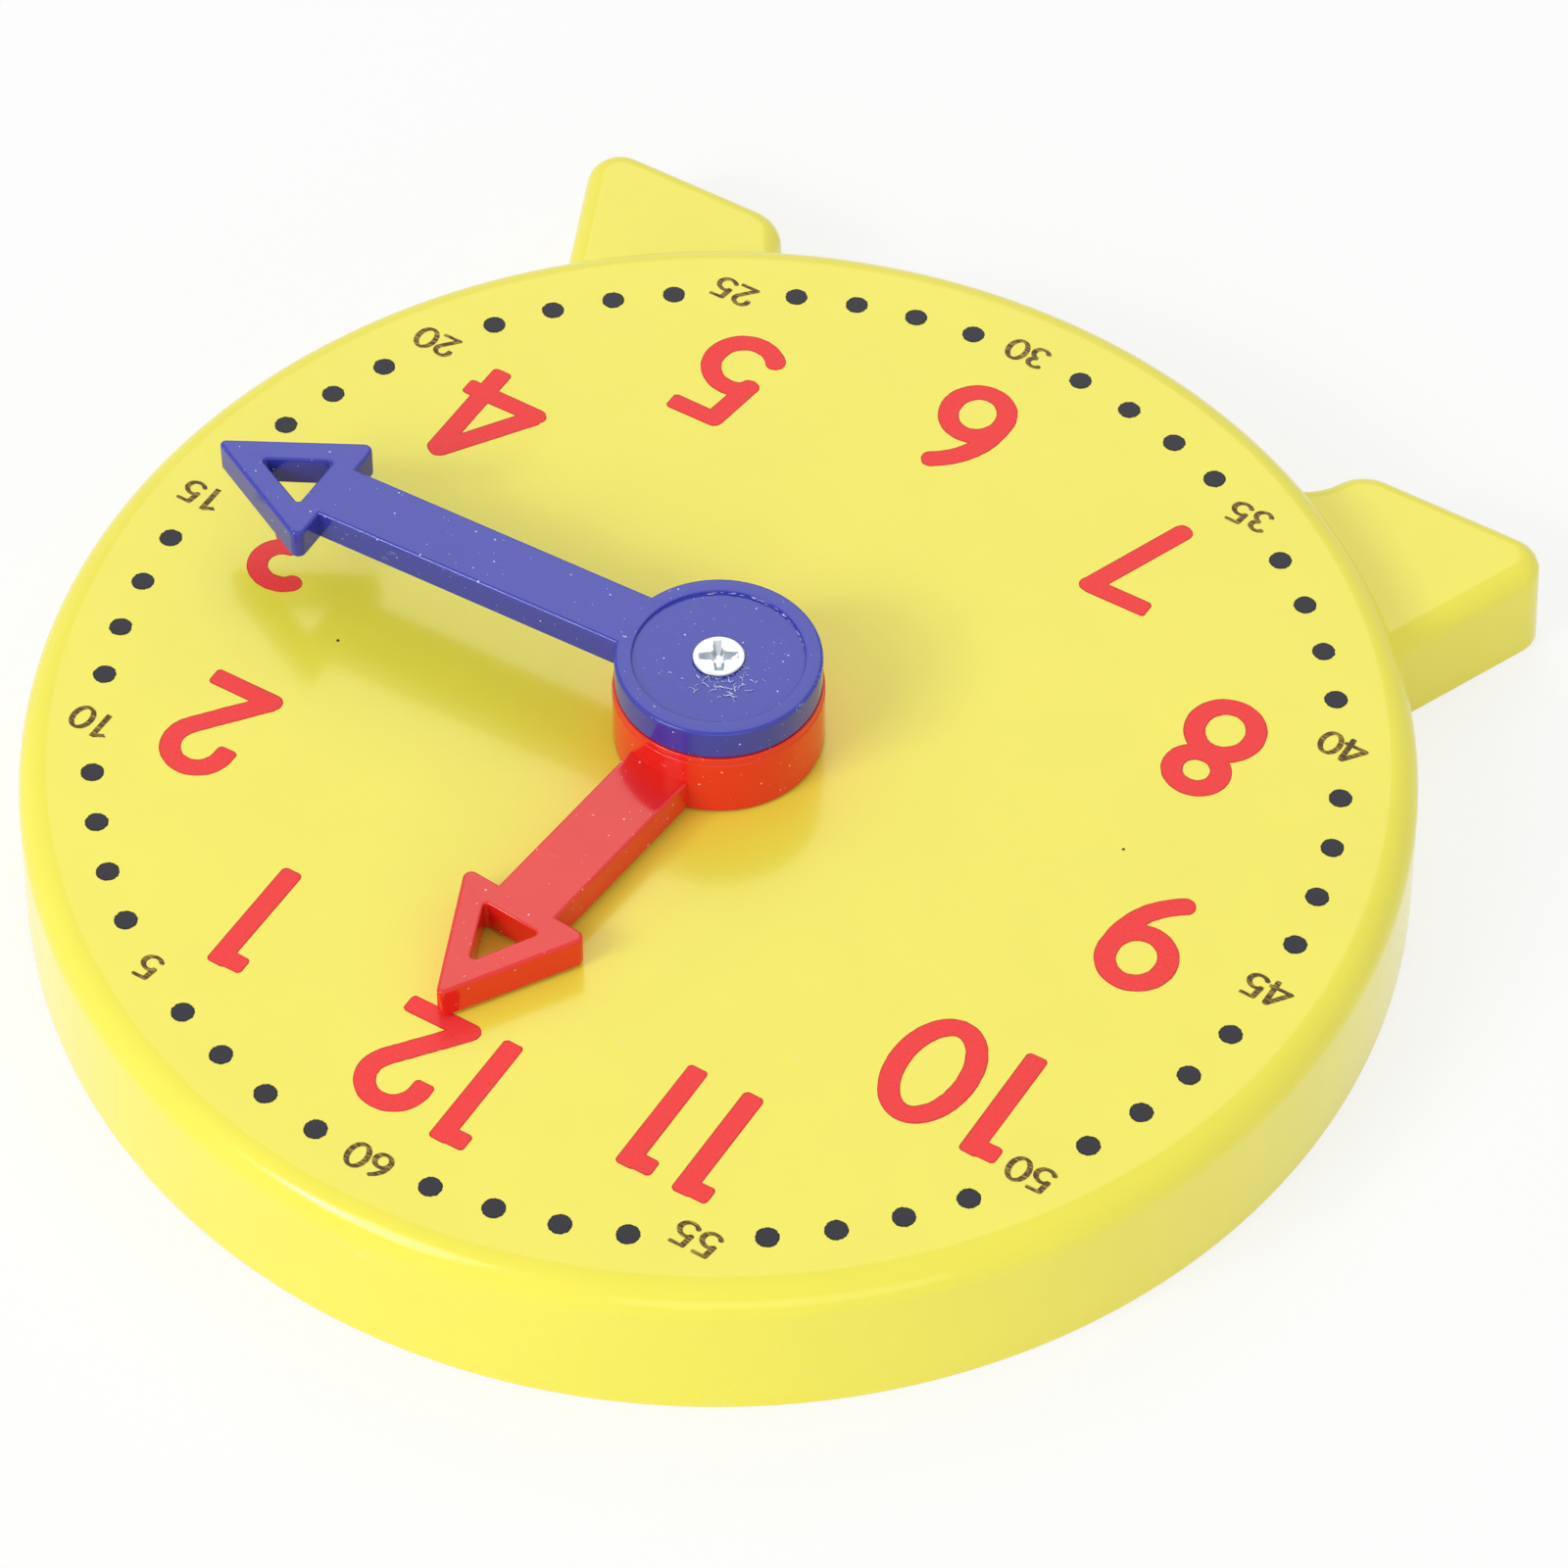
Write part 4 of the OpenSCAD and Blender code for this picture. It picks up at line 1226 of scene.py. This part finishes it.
# The camera stands at an azimuth from +Y towards +X and an elevation, in degrees
LENS = 144.4
SENSOR = 36.0
CLIP_START, CLIP_END = 0.01, 20
LOOK_AT = Vector((-6.44, 1.70, CASE_H))
VIEW_AZIMUTH = -31.008
VIEW_ELEVATION = 49.487
VIEW_DISTANCE = 443.5
VIEW_ROLL = 0.424

# Softboxes, aimed at the frame's origin: azimuth and elevation in degrees, sides in metres, power in watts
SOFTBOX_DISTANCE = 0.9
SOFTBOXES = {
    "key": (149, 49.5, (0.46, 0.46), 0.8),
    "fill": (-40, 16, (0.7, 0.4), 0.8),
    "strip": (17, 38, (0.24, 0.42), 1.7),
    "glint": (29.5, 35, (0.12, 0.16), 1.1),
}
# The sky as a light. The camera and reflections see it pure white
SKY_FILL = 0.64
# The floor is pale paper. In the camera and in reflections it is mixed with a share of an even glow
FLOOR_HALF = 1500.0
FLOOR_Z = -0.02
PAPER = (0.9, 0.9, 0.9, 1)
FLOOR_GLOW = 1.04
FLOOR_GLOW_SHARE = 0.7


def direction(azimuth, elevation):
    """Unit vector at an azimuth from +Y towards +X and an elevation, in degrees."""
    a, e = math.radians(azimuth), math.radians(elevation)
    return Vector((math.sin(a) * math.cos(e), math.cos(a) * math.cos(e), math.sin(e)))


def facing(away, place):
    """Matrix of a camera or lamp at a place, looking back along a direction."""
    return Matrix.Translation(place) @ away.to_track_quat("Z", "Y").to_matrix().to_4x4()


def build_camera():
    data = bpy.data.cameras.new("camera")
    data.lens = LENS
    data.sensor_width = SENSOR
    data.clip_start = CLIP_START
    data.clip_end = CLIP_END
    camera = new_object("camera", data)
    away = direction(VIEW_AZIMUTH, VIEW_ELEVATION)
    roll = Matrix.Rotation(math.radians(VIEW_ROLL), 4, "Z")
    camera.matrix_world = facing(away, (LOOK_AT + away * VIEW_DISTANCE) * MM) @ roll
    bpy.context.scene.camera = camera


def build_world():
    world = bpy.data.worlds.new("studio")
    world.use_nodes = True
    nodes = Nodes(world.node_tree)
    fill, seen = (nodes.add("ShaderNodeBackground", Color=WHITE, Strength=strength).outputs[0]
                  for strength in (SKY_FILL, 1.0))
    sky = nodes.mix_shaders(nodes.not_a_light_ray(), fill, seen)
    nodes.add("ShaderNodeOutputWorld", Surface=sky)
    bpy.context.scene.world = world


def build_floor():
    skin = Skin()
    half = FLOOR_HALF
    corners = [(-half, -half), (half, -half), (half, half), (-half, half)]
    skin.faces.append(tuple(skin.ring(corners, FLOOR_Z)))
    floor = skin.object("floor")
    material = bpy.data.materials.new("floor")
    material.use_nodes = True
    nodes = Nodes(material.node_tree)
    paper = nodes.add("ShaderNodeBsdfDiffuse", Color=PAPER).outputs[0]
    glow = nodes.add("ShaderNodeEmission", Strength=FLOOR_GLOW).outputs[0]
    share = nodes.math("MULTIPLY", nodes.not_a_light_ray(), FLOOR_GLOW_SHARE)
    nodes.add("ShaderNodeOutputMaterial", Surface=nodes.mix_shaders(share, paper, glow))
    floor.data.materials.append(material)


def build_softbox(name, azimuth, elevation, size, power):
    data = bpy.data.lights.new(name, "AREA")
    data.shape = "RECTANGLE"
    data.size, data.size_y = size
    data.energy = power
    away = direction(azimuth, elevation)
    new_object(name, data).matrix_world = facing(away, away * SOFTBOX_DISTANCE)


def build_stage():
    build_camera()
    build_world()
    build_floor()
    for name, values in SOFTBOXES.items():
        build_softbox(name, *values)
    bpy.context.scene.view_settings.view_transform = "Standard"


build_stage()
build_case()
build_cover()
build_screws()
build_hour_hand()
build_minute_hand()
build_hour_numerals()
build_minute_numerals()
build_minute_dots()
build_swarf()
build_dial_specks()
dress_nodes()
